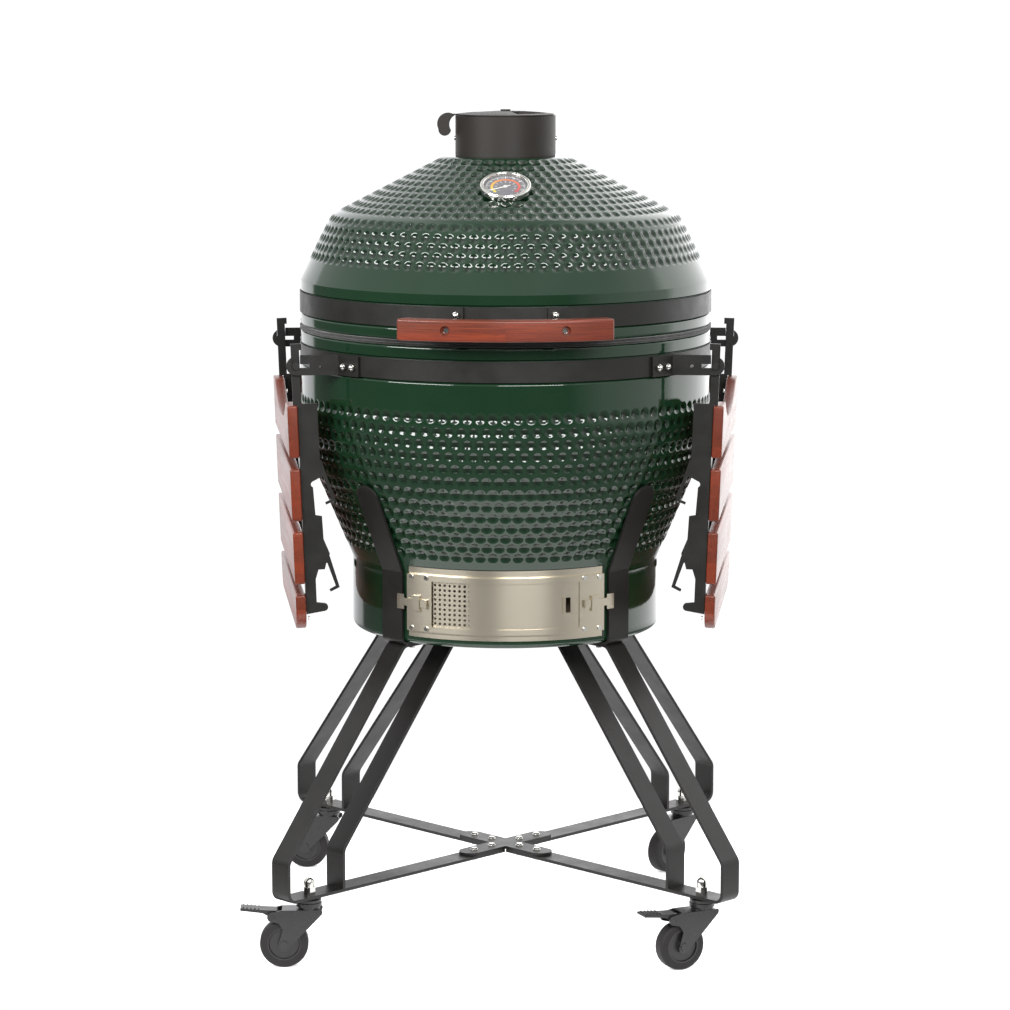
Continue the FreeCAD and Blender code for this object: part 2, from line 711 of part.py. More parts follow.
def shelf_hook(side, end):
    """Hook plate for one shelf pin, welded to a curved tab on the lower band."""
    reach = 70.0 if end < 0 else 134.0
    out_r = 14.5
    top = 17.0
    bottom = -14.5
    plate = plate_xz(BRACKET_T, (-reach, bottom), (0, bottom), ((out_r, 0), (8.5, 11.7)),
                     (7.0, 13.0), (7.0, 3.1), (-6.8, 3.1), (-6.8, top), (-reach, top))
    slot = box(-21, 6, -5, 5, -SHELF_PIN_R - 0.1, SHELF_PIN_R + 0.15)
    hole = rod(2.5, (-36, -5, 0), (-36, 5, 0))
    plate = plate.cut(slot).cut(hole)
    plate.translate(V(0, end * HOOK_U, 0))
    plate.rotate(O, Z, -SPLAY)
    plate.translate(V(*PIVOT))
    plate = plate.cut(Part.makeCylinder(BAND_OUT + 0.3, 200, V(0, 0, 850)))
    a, b = (42.8, 52.0) if end < 0 else (180 - 47.8, 180 - 38.5)
    tab = sector(BAND_OUT + 0.2, BAND_OUT + 4.2, PIVOT[2] + bottom, PIVOT[2] + top, a, b)
    hook = plate.fuse(tab).removeSplitter()
    return hook if side > 0 else mirrored(hook)


# ---- lid fittings -------------------------------------------------------------------
LID_SLOPE = math.degrees(math.atan2(LID_TOP_Z - LID_CORNER_Z, LID_CORNER_R - LID_TOP_R))


def on_gauge(shape):
    """Take a piece made standing on the origin to the gauge's place on the shallow cone."""
    piece = shape.copy()
    height = LID_TOP_Z - (GAUGE_R - LID_TOP_R) * math.tan(math.radians(LID_SLOPE))
    piece.rotate(O, X, LID_SLOPE)
    piece.translate(V(0, -GAUGE_R, height))
    return piece


def gauge_case():
    cup = Part.makeCylinder(GAUGE_CASE_R, 9, V(0, 0, 0.6))
    cup = cup.makeFillet(2.0, [e for e in cup.Edges if e.Length > 200 and e.BoundBox.ZMin > 5])
    cup = cup.cut(Part.makeCylinder(33.5, 7, V(0, 0, 3.1)))
    cup = cup.fuse(Part.makeCylinder(6, 27, V(0, 0, -26.4)))
    cup = cup.cut(Part.makeCylinder(4.0, 33, V(0, 0, -30)))
    return on_gauge(cup)


def gauge_needle():
    hub = Part.makeCylinder(3.2, 1.0, V(0, 0, 4.7))
    arm = box(-1.1, 1.1, -8, 25, 4.8, 5.5)
    tip = Part.Face(Part.makePolygon([V(-1.1, 25, 4.8), V(1.1, 25, 4.8), V(0, 29, 4.8),
                                      V(-1.1, 25, 4.8)])).extrude(V(0, 0, 0.7))
    needle = hub.fuse(arm).fuse(tip).removeSplitter()
    needle.rotate(O, Z, 115)
    return on_gauge(needle)


def handle_bar():
    """Bent wooden bar with counterbored bolt holes."""
    bar = sector(376, 404, HANDLE_Z - 16.5, HANDLE_Z + 16.5, -24, 24)
    bar = bar.makeFillet(3.5, [e for e in bar.Edges])
    for turn in (-13, 13):
        bar = bar.cut(put(rod(4.2, (370, 0, HANDLE_Z), (410, 0, HANDLE_Z)), turn))
        bar = bar.cut(put(rod(7.5, (398, 0, HANDLE_Z), (410, 0, HANDLE_Z)), turn))
    return bar


def handle_bracket(turn):
    """Bent strap from the upper band to the back of the bar."""
    band_side = box(BAND_OUT + 0.3, BAND_OUT + 3.8, -11, 11, UPPER_BAND_Z[0], UPPER_BAND_Z[1])
    arm_z = UPPER_BAND_Z[0] + 10
    arm = box(BAND_OUT + 0.3, 375.8, -11, 11, arm_z, arm_z + 3.5)
    bar_side = box(372.3, 375.8, -11, 11, 990, arm_z + 3.5)
    bracket = band_side.fuse(arm).fuse(bar_side).removeSplitter()
    bracket = bracket.cut(rod(4.2, (370, 0, HANDLE_Z), (380, 0, HANDLE_Z)))
    return put(bracket, turn)


def chimney():
    """Cast cap: cylinder with a foot flange, and a top plate with two air openings."""
    top = CHIMNEY_TOP_Z
    body = ring(CHIMNEY_R - 5, CHIMNEY_R, LID_TOP_Z + 2, top)
    flange = ring(FLUE_R, CHIMNEY_R, LID_TOP_Z, LID_TOP_Z + 5)
    plate = ring(4.1, CHIMNEY_R, top - 4, top)
    for turn in (0, 180):
        plate = plate.cut(sector(20, 64, top - 5, top + 1, turn - 38, turn + 38))
    return body.fuse(flange).fuse(plate).removeSplitter()


def chimney_disc():
    """Turning disc with two air openings, its pivot and a teardrop tab at the side."""
    low = CHIMNEY_TOP_Z + 0.4
    disc = lathe((0, low), (77, low), (77, low + 2), ((45, low + 5.0), (0, low + 6.5)))
    for turn in (0, 180):
        disc = disc.cut(sector(20, 64, low - 1, low + 10, turn + 17, turn + 93))
    disc = disc.fuse(rod(4.0, (0, 0, CHIMNEY_TOP_Z - 8), (0, 0, low + 1)))
    disc = disc.fuse(rod(9, (0, 0, CHIMNEY_TOP_Z - 9), (0, 0, CHIMNEY_TOP_Z - 4.4)))
    disc = disc.fuse(rod(8, (0, 0, low + 4), (0, 0, low + 9)))
    tab = plate_xz(5, (-70, low), (-70, low + 2), (-84, low + 2), ((-106, low - 4), (-107, low - 22)),
                   ((-97, low - 33), (-87, low - 24)), ((-88, low - 8), (-81, low - 0.5)),
                   (-81, low))
    return disc.fuse(tab).removeSplitter()


# ---- write every node ---------------------------------------------------------------
save("bowl", bowl())
save("lower_gasket", felt(BOWL_TOP_Z, SEAM_Z - 0.1))
save("lower_band", band(LOWER_BAND_Z))
save("lower_hinge_bracket", hinge_bracket(LOWER_BAND_Z, 33, PIN_R))
save("hinge_pin", rod(PIN_R, (-41, PIN_Y, PIN_Z), (41, PIN_Y, PIN_Z)))
springs = []
for x in (-21, 2):
    spring = rod(11, (x, PIN_Y, PIN_Z), (x + 19, PIN_Y, PIN_Z))
    springs.append(spring.cut(rod(6.5, (x, PIN_Y, PIN_Z), (x + 19, PIN_Y, PIN_Z))))
save("hinge_springs", *springs)
save("fire_box", fire_box())
save("fire_ring", fire_ring())
save("charcoal_grate", charcoal_grate())
save("cooking_grid", cooking_grid())

save("vent_frame", vent_frame(), latch_guide(-1), latch_guide(1))
save("latch_left", latch(-1))
save("latch_right", latch(1))
save("vent_door", vent_door())
save("mesh_screen", mesh_screen())

band_bolts = []
for side in (-1, 1):
    for turn in (44.8, 48.2, 180 - 41.0, 180 - 44.4):
        head = along_x(dome_nut(10, 4, 8.5))
        band_bolts.append(put(head, side * turn, BAND_OUT + 4.3, PIVOT[2]))
for turn in (-35.2, -29.0, 29.0, 35.2):
    for z in (VENT_Z[0] + 15, VENT_Z[1] - 15):
        rivet = along_x(Part.makeCylinder(3.6, 1.6))
        radius = LIP_R + LIP_T
        band_bolts.append(put(rivet, turn, radius, z))
for x in (-9, 9):
    head = along_x(bolt_head(8, 4))
    turn = 180 + math.degrees(math.asin(x / BAND_OUT))
    band_bolts.append(put(head, turn, BAND_OUT + 3.7, LOWER_BAND_Z[0] + 10))
save("body_fasteners", *band_bolts)

for side, word in ((-1, "left"), (1, "right")):
    save("shelf_hooks_" + word, shelf_hook(side, -1), shelf_hook(side, 1))
    save("shelf_slats_" + word, *shelf_slats(side))
    save("shelf_brackets_" + word, *shelf_bracket(side))
    save("shelf_screws_" + word, *shelf_screws(side))

save("uprights", *[upright(turn) for turn in CORNERS.values()])
for name, turn in CORNERS.items():
    save("leg_" + name, *leg(turn))
save("cross_plate", cross_plate())
save("cart_fasteners", *cart_bolts())

save("caster_stems", *[caster_at(caster_stem(), name) for name in CORNERS])
for name in CORNERS:
    save("caster_fork_" + name, caster_at(caster_fork(name in BRAKED), name))
    save("caster_tyre_" + name, caster_at(tyre(), name))
    save("caster_hub_" + name, caster_at(wheel_hub(), name))
    if name in BRAKED:
        save("brake_pedal_" + name, caster_at(brake_pedal(), name))

save("dome", dome())
save("upper_gasket", felt(SEAM_Z + 0.1, LID_Z))
save("upper_band", band(UPPER_BAND_Z))
save("upper_hinge_bracket", hinge_bracket(UPPER_BAND_Z, 25, PIN_R + 0.06))
save("handle_bar", handle_bar())
save("handle_brackets", handle_bracket(-13), handle_bracket(13))

lid_bolts = []
for turn in (-13, 13):
    lid_bolts.append(put(rod(4.1, (369, 0, HANDLE_Z), (396, 0, HANDLE_Z)), turn))
    lid_bolts.append(put(along_x(dome_nut(10, 4, 8.5)), turn, BAND_OUT + 3.9, UPPER_BAND_Z[0] + 21))
for turn in (-90, 90):
    lid_bolts.append(put(along_x(Part.makeCylinder(3.5, 2)), turn, CHIMNEY_R, CHIMNEY_TOP_Z - 36))
save("lid_fasteners", *lid_bolts)

save("gauge_case", gauge_case())
save("gauge_dial", on_gauge(Part.makeCylinder(33.3, 1.2, V(0, 0, 3.2))))
save("gauge_lens", on_gauge(Part.makeCylinder(33.3, 1.5, V(0, 0, 7.0))))
save("gauge_needle", gauge_needle())
save("gauge_probe", on_gauge(Part.makeCylinder(3.9, 70, V(0, 0, -67))))
save("chimney", chimney())
save("chimney_disc", chimney_disc())
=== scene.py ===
# %% [markdown]
# # A ceramic kamado grill on a wheeled cart
#
# A kamado is a thick pot of fired clay with a lid of the same clay. The engineering model already
# says where every part is and how it moves. This lesson dresses it: it works out new surfaces
# where the real thing has a finer shape than the model, and it gives each part the finish that its
# maker gave it. Everything is in metres, in the frame of the model: the origin is on the floor
# under the pot, +Z is up and the front faces -Y.

# %% Load the frame
import json
import math

import bmesh
import bpy
import numpy as np
from mathutils import Matrix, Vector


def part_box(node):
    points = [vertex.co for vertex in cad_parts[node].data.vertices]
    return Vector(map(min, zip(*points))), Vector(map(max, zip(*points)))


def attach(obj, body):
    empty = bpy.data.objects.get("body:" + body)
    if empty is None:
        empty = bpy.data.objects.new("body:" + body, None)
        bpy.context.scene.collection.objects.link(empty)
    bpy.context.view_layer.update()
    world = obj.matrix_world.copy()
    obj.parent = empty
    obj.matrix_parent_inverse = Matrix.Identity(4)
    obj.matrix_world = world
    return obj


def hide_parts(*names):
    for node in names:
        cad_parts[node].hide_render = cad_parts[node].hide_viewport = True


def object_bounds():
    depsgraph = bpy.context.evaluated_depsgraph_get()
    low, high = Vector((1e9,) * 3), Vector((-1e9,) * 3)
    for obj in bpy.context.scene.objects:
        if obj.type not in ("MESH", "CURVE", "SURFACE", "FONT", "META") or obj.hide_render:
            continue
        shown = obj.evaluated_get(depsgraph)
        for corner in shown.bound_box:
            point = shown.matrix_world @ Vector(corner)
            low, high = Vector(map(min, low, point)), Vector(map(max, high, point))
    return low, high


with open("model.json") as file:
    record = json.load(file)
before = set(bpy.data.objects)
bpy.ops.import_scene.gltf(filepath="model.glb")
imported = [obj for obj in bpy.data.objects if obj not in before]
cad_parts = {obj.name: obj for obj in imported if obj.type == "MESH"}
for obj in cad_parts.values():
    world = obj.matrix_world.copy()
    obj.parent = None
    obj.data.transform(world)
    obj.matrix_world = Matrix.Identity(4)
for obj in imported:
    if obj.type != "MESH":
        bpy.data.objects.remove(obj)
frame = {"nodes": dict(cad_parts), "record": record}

NODES = frame["nodes"]
MM = 0.001
cad_low, cad_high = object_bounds()
cad_bounds = [list(cad_low), list(cad_high)]
cad_size = [round(high - low, 3) for low, high in zip(*cad_bounds)]
print("parts in the frame:", len(NODES), " size in m:", cad_size)

# %% [markdown]
# ## Small tools
#
# Colours are chosen as hex values, the way a paint chart prints them. A renderer adds up light, so
# it needs the same colours on a linear scale. Shader trees are long to write by hand, so one small
# function adds a node, sets it and links it.

# %% Colour and nodes
def tint(hex_colour):
    """Linear RGBA from sRGB hex: each channel goes through the inverse of the sRGB curve."""
    share = np.array([int(hex_colour[i:i + 2], 16) for i in (1, 3, 5)]) / 255
    linear = np.where(share <= 0.04045, share / 12.92, ((share + 0.055) / 1.055) ** 2.4)
    return (*linear.tolist(), 1.0)


def add(tree, kind, settings=None, inputs=None):
    """Add one node. Settings are its properties; an input is a value to set or a socket to link."""
    node = tree.nodes.new("ShaderNode" + kind)
    for name, value in (settings or {}).items():
        setattr(node, name, value)
    for name, value in (inputs or {}).items():
        if isinstance(value, bpy.types.NodeSocket):
            tree.links.new(value, node.inputs[name])
        else:
            node.inputs[name].default_value = value
    return node


def finish(name, build):
    """A material: build(tree) makes its nodes and returns the one that shades the surface."""
    material = bpy.data.materials.new(name)
    material.use_nodes = True
    material.node_tree.nodes.clear()
    surface = build(material.node_tree)
    add(material.node_tree, "OutputMaterial", inputs={"Surface": surface.outputs[0]})
    print("finish:", name, "-", len(material.node_tree.nodes), "nodes")
    return material


# %% [markdown]
# Nearly every new piece here is a sheet of points in rows and columns, which is the easiest shape
# to work out with whole arrays. A piece may be sewn from several sheets: points that meet are
# merged, so that seams are closed.

# %% Sheets of points
def sheet_faces(rows, columns, around, first):
    """Corner numbers of the four-sided faces between neighbouring points of a grid."""
    index = first + np.arange(rows * columns).reshape(rows, columns)
    if around:
        index = np.column_stack([index, index[:, 0]])
    corners = [index[:-1, :-1], index[:-1, 1:], index[1:, 1:], index[1:, :-1]]
    return np.stack(corners, axis=-1)


def sew(name, sheets, material, smooth_angle=40.0, merge=1e-6):
    """A mesh object from sheets. Each is (points, around) or (points, around, kept faces)."""
    points, faces, first = [], [], 0
    for sheet in sheets:
        grid, around = sheet[0], sheet[1]
        quads = sheet_faces(grid.shape[0], grid.shape[1], around, first)
        kept = sheet[2] if len(sheet) > 2 else np.ones(quads.shape[:2], bool)
        faces.append(quads[kept])
        points.append(grid.reshape(-1, 3))
        first += grid.shape[0] * grid.shape[1]
    mesh = bpy.data.meshes.new(name)
    mesh.from_pydata(np.concatenate(points), [], np.concatenate(faces))
    shell = bmesh.new()
    shell.from_mesh(mesh)
    bmesh.ops.remove_doubles(shell, verts=shell.verts, dist=merge)
    bmesh.ops.delete(shell, geom=[v for v in shell.verts if not v.link_faces], context="VERTS")
    shell.to_mesh(mesh)
    shell.free()
    mesh.shade_smooth()
    mesh.set_sharp_from_angle(angle=math.radians(smooth_angle))
    mesh.materials.append(material)
    piece = bpy.data.objects.new(name, mesh)
    bpy.context.scene.collection.objects.link(piece)
    print("piece:", name, "-", len(mesh.polygons), "faces")
    return piece


# %% [markdown]
# A potter's lathe turns a profile about an axis. So does this function, and the profile is written
# as straight runs and arcs through three points.

# %% Profiles and turning
def run(*points, step=1.0):
    """Points (radius, height) in mm along straight runs, at most step apart."""
    pieces = []
    for a, b in zip(points[:-1], points[1:]):
        count = max(1, math.ceil(math.dist(a, b) / step))
        pieces.append(np.linspace(a, b, count, endpoint=False))
    return np.concatenate(pieces + [np.array([points[-1]], float)])


def arc(start, middle, end, step=1.0):
    """Points along the circle through three points: its centre is where two bisectors cross."""
    a, b, c = (np.array(p, float) for p in (start, middle, end))
    centre = np.linalg.solve(2 * np.array([b - a, c - b]), [b @ b - a @ a, c @ c - b @ b])
    radius = math.dist(a, centre)
    first, mid, last = (math.atan2(*(p - centre)[::-1]) for p in (a, b, c))
    sweep = (last - first) % (2 * math.pi)
    if (mid - first) % (2 * math.pi) > sweep:
        sweep -= 2 * math.pi
    count = max(2, math.ceil(abs(sweep) * radius / step)) + 1
    angle = first + np.linspace(0, sweep, count)
    return centre + radius * np.column_stack([np.cos(angle), np.sin(angle)])


def joined(*parts):
    """One profile from parts that share their end points."""
    return np.concatenate([parts[0]] + [p[1:] for p in parts[1:]])


def turned(profile, turns):
    """The profile (mm) carried about the axis: x = r sin(turn), y = -r cos(turn), z = height."""
    radius, height = profile[:, :1] * MM, profile[:, 1:] * MM
    return np.stack([radius * np.sin(turns), -radius * np.cos(turns), height + 0 * turns], axis=-1)


def full_circle(count):
    """Evenly spaced turns, counted from the front towards +X."""
    return np.linspace(0, 2 * np.pi, count, endpoint=False)


# %% [markdown]
# ## Camera, light and floor
#
# A long lens from far off keeps the pot's outline true, and a low tilt shows its rings as slim
# ovals.

# %% Camera
CAMERA_PLACE = (-0.0008, -5.5456, 1.5169)
CAMERA_TILT = math.radians(81.434)      # a level look would be 90 degrees
CAMERA_LENS = 123.31                    # mm, over a sensor 36 mm wide

camera_data = bpy.data.cameras.new("camera")
camera_data.sensor_width = 36.0
camera_data.lens = CAMERA_LENS
camera_data.clip_end = 200.0
camera = bpy.data.objects.new("camera", camera_data)
camera.location = CAMERA_PLACE
camera.rotation_euler = (CAMERA_TILT, 0, 0)
bpy.context.scene.collection.objects.link(camera)
bpy.context.scene.camera = camera
bpy.context.scene.view_settings.view_transform = "Standard"
print("camera:", CAMERA_LENS, "mm lens at", CAMERA_PLACE)

# %% [markdown]
# A product of dark gloss is really a mirror, so the studio around it does most of the work: a
# bright wall behind the object, a lit wall on its right, a dim room in front of it and a pale
# ceiling. The walls give the pale edges on both flanks. They could be real boards with lamps, but a
# sky that depends on direction only does the same and can be seen from every side. The camera
# itself sees plain white, as a lit backdrop is.

# %% Studio walls as a sky
STUDIO_POWER, BACKDROP_POWER = 3.4, 1.05
BACK_WALL, RIGHT_WALL = (0.46, 0.46, 0.47, 1), (0.80, 0.80, 0.80, 1)
UPPER_WALL = (0.26, 0.26, 0.265, 1)
LIT_FLOOR = (0.11, 0.11, 0.11, 1)
# round the room at eye height, from straight behind over the left, the front and the right to
# behind again: the share of the turn and the grey there
BACK_ENDS, RIGHT_STARTS = 0.118, 0.80
DIM_ROOM = ((0.128, 0.05), (0.44, 0.03), (0.60, 0.04), (0.655, 0.22), (0.78, 0.40))

studio = bpy.data.worlds.new("studio")
studio.use_nodes = True
studio.node_tree.nodes.clear()
sky = studio.node_tree
direction = add(sky, "SeparateXYZ", inputs={0: add(sky, "TexCoord").outputs["Generated"]})
towards_front = add(sky, "Math", {"operation": "MULTIPLY"}, {0: direction.outputs["Y"], 1: -1.0})
azimuth = add(sky, "Math", {"operation": "ARCTAN2"}, {
    0: direction.outputs["X"], 1: towards_front.outputs[0]})
room_turn = add(sky, "MapRange", inputs={
    "Value": azimuth.outputs[0], "From Min": -math.pi, "From Max": math.pi})
ring = add(sky, "ValToRGB", inputs={"Fac": room_turn.outputs[0]})
stops = ring.color_ramp.elements
stops[0].position, stops[0].color = BACK_ENDS, BACK_WALL
stops[1].position, stops[1].color = RIGHT_STARTS, RIGHT_WALL
for place, level in DIM_ROOM:
    stop = stops.new(place)
    stop.color = (level, level, level, 1)
# over eye height the front wall is pale; straight overhead the room is dark between bright flanks
upper = add(sky, "MixRGB", {"blend_type": "LIGHTEN"}, {0: 1.0, 1: ring.outputs[0], 2: UPPER_WALL})
flank = add(sky, "Math", {"operation": "ABSOLUTE"}, {0: direction.outputs["X"]})
zenith = add(sky, "MapRange", inputs={"Value": flank.outputs[0], "From Min": 0.16, "From Max": 0.34,
                                      "To Min": 0.20, "To Max": 0.45})
wall_top = add(sky, "MapRange", inputs={
    "Value": direction.outputs["Z"], "From Min": 0.06, "From Max": 0.12})
ceiling_edge = add(sky, "MapRange", inputs={
    "Value": direction.outputs["Z"], "From Min": 0.72, "From Max": 0.84})
floor_edge = add(sky, "MapRange", inputs={
    "Value": direction.outputs["Z"], "From Min": -0.30, "From Max": -0.14})
walls = add(sky, "MixRGB", inputs={
    0: wall_top.outputs[0], 1: ring.outputs[0], 2: upper.outputs[0]})
ceiling = add(sky, "MixRGB", inputs={
    0: ceiling_edge.outputs[0], 1: walls.outputs[0], 2: zenith.outputs[0]})
wall_glow = add(sky, "MixRGB", inputs={
    0: floor_edge.outputs[0], 1: LIT_FLOOR, 2: ceiling.outputs[0]})
room = add(sky, "Background", inputs={"Color": wall_glow.outputs[0], "Strength": STUDIO_POWER})
backdrop = add(sky, "Background", inputs={"Color": (1, 1, 1, 1), "Strength": BACKDROP_POWER})
seen = add(sky, "LightPath").outputs["Is Camera Ray"]
seen_or_not = add(sky, "MixShader", inputs={0: seen, 1: room.outputs[0], 2: backdrop.outputs[0]})
add(sky, "OutputWorld", inputs={"Surface": seen_or_not.outputs[0]})
bpy.context.scene.world = studio
print("studio sky:", len(sky.nodes), "nodes")

# %% [markdown]
# Two softboxes hang high in front, one on each side. Each shows as one small light in every dimple
# that it reaches, which is what makes the glaze look wet.

# %% Softboxes
POT_MIDDLE = (0, 0, 0.9)
SOFTBOX_RADIANCE = 20.0


def softbox(name, place, width, height):
    """A rectangular lamp that looks at the pot; its power is pi x area x radiance."""
    data = bpy.data.lights.new(name, "AREA")
    data.shape = "RECTANGLE"
    data.size, data.size_y = width, height
    data.energy = math.pi * width * height * SOFTBOX_RADIANCE
    lamp = bpy.data.objects.new(name, data)
    z_axis = np.array(place, float) - np.array(POT_MIDDLE, float)
    z_axis /= np.linalg.norm(z_axis)
    x_axis = np.cross((0, 0, 1), z_axis)
    x_axis /= np.linalg.norm(x_axis)
    placed = np.eye(4)
    placed[:3, :3] = np.column_stack([x_axis, np.cross(z_axis, x_axis), z_axis])
    placed[:3, 3] = place
    lamp.matrix_world = Matrix(placed.tolist())
    bpy.context.scene.collection.objects.link(lamp)
    print("lamp:", name, round(data.energy), "W")


softbox("left_softbox", (-2.09, -1.89, 1.95), 1.95, 0.74)
softbox("right_softbox", (0.68, -2.74, 1.98), 1.8, 0.70)

# %% [markdown]
# The floor is a pale painted disc, just wide enough to stand on, so that the pot mirrors the dim
# room and not a lit floor.

# %% Floor
def painted_floor(tree):
    """Matt white emulsion on board: almost no gloss, and the faintest cloudiness."""
    place = add(tree, "TexCoord").outputs["Object"]
    cloud = add(tree, "TexNoise", inputs={"Vector": place, "Scale": 1.4, "Detail": 3.0})
    colour = add(tree, "ValToRGB", inputs={"Fac": cloud.outputs["Fac"]})
    colour.color_ramp.elements[0].color = tint("#F1F1F1")
    colour.color_ramp.elements[1].color = tint("#FAFAFA")
    return add(tree, "BsdfPrincipled", inputs={
        "Base Color": colour.outputs[0], "Roughness": 0.9, "Specular IOR Level": 0.2,
        "Emission Color": (1, 1, 1, 1), "Emission Strength": 0.35})


FLOOR_RADIUS = 850.0     # mm
floor_grid = turned(np.array([[FLOOR_RADIUS, 0.0], [400.0, 0.0], [0.0, 0.0]]), full_circle(96))
floor = sew("floor", [(floor_grid, True)], finish("matt white floor paint", painted_floor))

# %% [markdown]
# ## Glazed stoneware
#
# The pot is fired clay under a glossy green glaze. Round hollows are pressed into it in rows. Each
# row turns on its own count, so that the hollows keep one spacing while the pot narrows. The glaze
# runs into the hollows and is thickest and darkest there, and thin and paler on the ridges. Where
# the pot is not glazed, the pale clay shows.

# %% The glaze
def glazed_stoneware(tree):
    """Bottle-green gloss glaze: IOR of glass, faint orange peel, a colour that deepens in pools."""
    place = add(tree, "TexCoord").outputs["Object"]
    pool = add(tree, "Attribute", {"attribute_name": "glaze_pool"}).outputs["Fac"]
    # clouds of colour some 60 mm across, where the glaze was sprayed a little thicker
    cloud = add(tree, "TexNoise", inputs={"Vector": place, "Scale": 16.0, "Detail": 4.0})
    # specks of iron about 1 mm across
    speck = add(tree, "TexNoise", inputs={"Vector": place, "Scale": 900.0, "Detail": 1.0})
    thin = add(tree, "MixRGB", inputs={
        0: cloud.outputs["Fac"], 1: tint("#0E2415"), 2: tint("#142C1B")})
    deep = add(tree, "MixRGB", inputs={0: pool, 1: thin.outputs[0], 2: tint("#08160B")})
    specked = add(tree, "MapRange", inputs={"Value": speck.outputs["Fac"], "From Min": 0.72,
                                            "From Max": 0.80, "To Max": 0.55})
    colour = add(tree, "MixRGB", inputs={
        0: specked.outputs[0], 1: deep.outputs[0], 2: tint("#050B06")})
    # fired gloss: smooth, with a few duller patches from handling
    gloss = add(tree, "MapRange", inputs={
        "Value": cloud.outputs["Fac"], "To Min": 0.03, "To Max": 0.11})
    # orange peel: ripples 5 mm apart and 0.02 mm deep
    peel = add(tree, "TexNoise", inputs={"Vector": place, "Scale": 190.0, "Detail": 2.0})
    bump = add(tree, "Bump", inputs={
        "Strength": 0.35, "Distance": 0.0002, "Height": peel.outputs["Fac"]})
    return add(tree, "BsdfPrincipled", inputs={
        "Base Color": colour.outputs[0], "Roughness": gloss.outputs[0], "IOR": 1.52,
        "Normal": bump.outputs[0]})


def unglazed_stoneware(tree):
    """Bisque: pale, chalky clay with a sandy tooth, where the pot is never glazed."""
    place = add(tree, "TexCoord").outputs["Object"]
    # grains of grog 1.4 mm across and a blush from the kiln's flame 110 mm across
    grog = add(tree, "TexNoise", inputs={"Vector": place, "Scale": 700.0, "Detail": 3.0})
    blush = add(tree, "TexNoise", inputs={"Vector": place, "Scale": 9.0, "Detail": 3.0})
    warm = add(tree, "MixRGB", inputs={
        0: blush.outputs["Fac"], 1: tint("#B9A58A"), 2: tint("#CDBDA4")})
    grain = add(tree, "MapRange", inputs={"Value": grog.outputs["Fac"], "From Min": 0.35,
                                          "From Max": 0.65, "To Min": 0.82, "To Max": 1.0})
    colour = add(tree, "VectorMath", {"operation": "MULTIPLY"}, {
        0: warm.outputs[0], 1: grain.outputs[0]})
    bump = add(tree, "Bump", inputs={
        "Strength": 0.5, "Distance": 0.0005, "Height": grog.outputs["Fac"]})
    return add(tree, "BsdfPrincipled", inputs={
        "Base Color": colour.outputs[0], "Roughness": 0.85, "Specular IOR Level": 0.3,
        "Normal": bump.outputs[0]})


GLAZE = finish("glazed stoneware, fired gloss", glazed_stoneware)
BISQUE = finish("bisque stoneware, unglazed", unglazed_stoneware)

# %% [markdown]
# The hollows could be a bump map, but they break the outline and catch the softboxes as little
# mirrors, so they are real geometry: a fine sheet pushed inwards by a formula.

# %% Rows of hollows
HOLLOW_WIDE = 8.4        # mm, half the width of a hollow
HOLLOW_TALL = 8.0
HOLLOW_DEEP = 3.0
HOLLOW_PITCH = 19.5      # mm between hollows along a row
SHARPNESS = 0.05         # how crisply a hollow meets the ridge: smaller is crisper


def hollowed(profile, turns, rows, tall=HOLLOW_TALL, pitch=HOLLOW_PITCH, first=0):
    """The turned profile with a shallow bowl pressed in at every hollow.

    With t the distance from the nearest hollow's middle, counted in hollow radii, the depth is
    D (1 - t squared) inside and dies away smoothly at the rim, as log(1 + exp(x)) does near zero.
    Returns the points and how full of glaze each one is.
    """
    step = np.hypot(*np.diff(profile, axis=0).T)
    along = np.concatenate([[0], np.cumsum(step)])
    rows_along = np.interp(rows, profile[:, 1], along)
    row = np.abs(along[:, None] - rows_along[None, :]).argmin(axis=1)
    row_radius = np.interp(rows_along, along, profile[:, 0])
    count = np.round(2 * np.pi * row_radius / pitch)[row][:, None]
    shift = 0.5 * ((row + first) % 2)[:, None]
    cell = turns * count / (2 * np.pi) + shift
    sideways = (cell - np.round(cell)) * 2 * np.pi / count * profile[:, :1] / HOLLOW_WIDE
    upwards = ((along - rows_along[row]) / tall)[:, None]
    inside = 1 - sideways ** 2 - upwards ** 2
    depth = HOLLOW_DEEP * SHARPNESS * np.logaddexp(0, inside / SHARPNESS)
    slope = np.gradient(profile, along, axis=0)
    points = turned(profile, turns)
    inwards_r = (-slope[:, 1:] * depth) * MM
    inwards_z = (slope[:, :1] * depth) * MM
    points[..., 0] += inwards_r * np.sin(turns)
    points[..., 1] -= inwards_r * np.cos(turns)
    points[..., 2] += inwards_z
    return points, np.clip(depth / HOLLOW_DEEP, 0, 1)


def glazed_piece(name, sheets, node, body, pool=None):
    """Sew glazed sheets, store how the glaze pooled and put the piece on its body."""
    piece = sew(name, sheets, GLAZE, smooth_angle=50.0, merge=1e-7)
    pooled = piece.data.attributes.new("glaze_pool", "FLOAT", "POINT")
    if pool is not None:
        pooled.data.foreach_set("value", pool.astype(np.float32).ravel())
    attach(piece, body)
    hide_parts(node)
    return piece


# %% [markdown]
# ### The bowl
#
# Its outside is one profile from the foot to the rim. A piece of mesh should stay light, so the
# skin is made in rings that meet on the plain strips between rows of hollows.

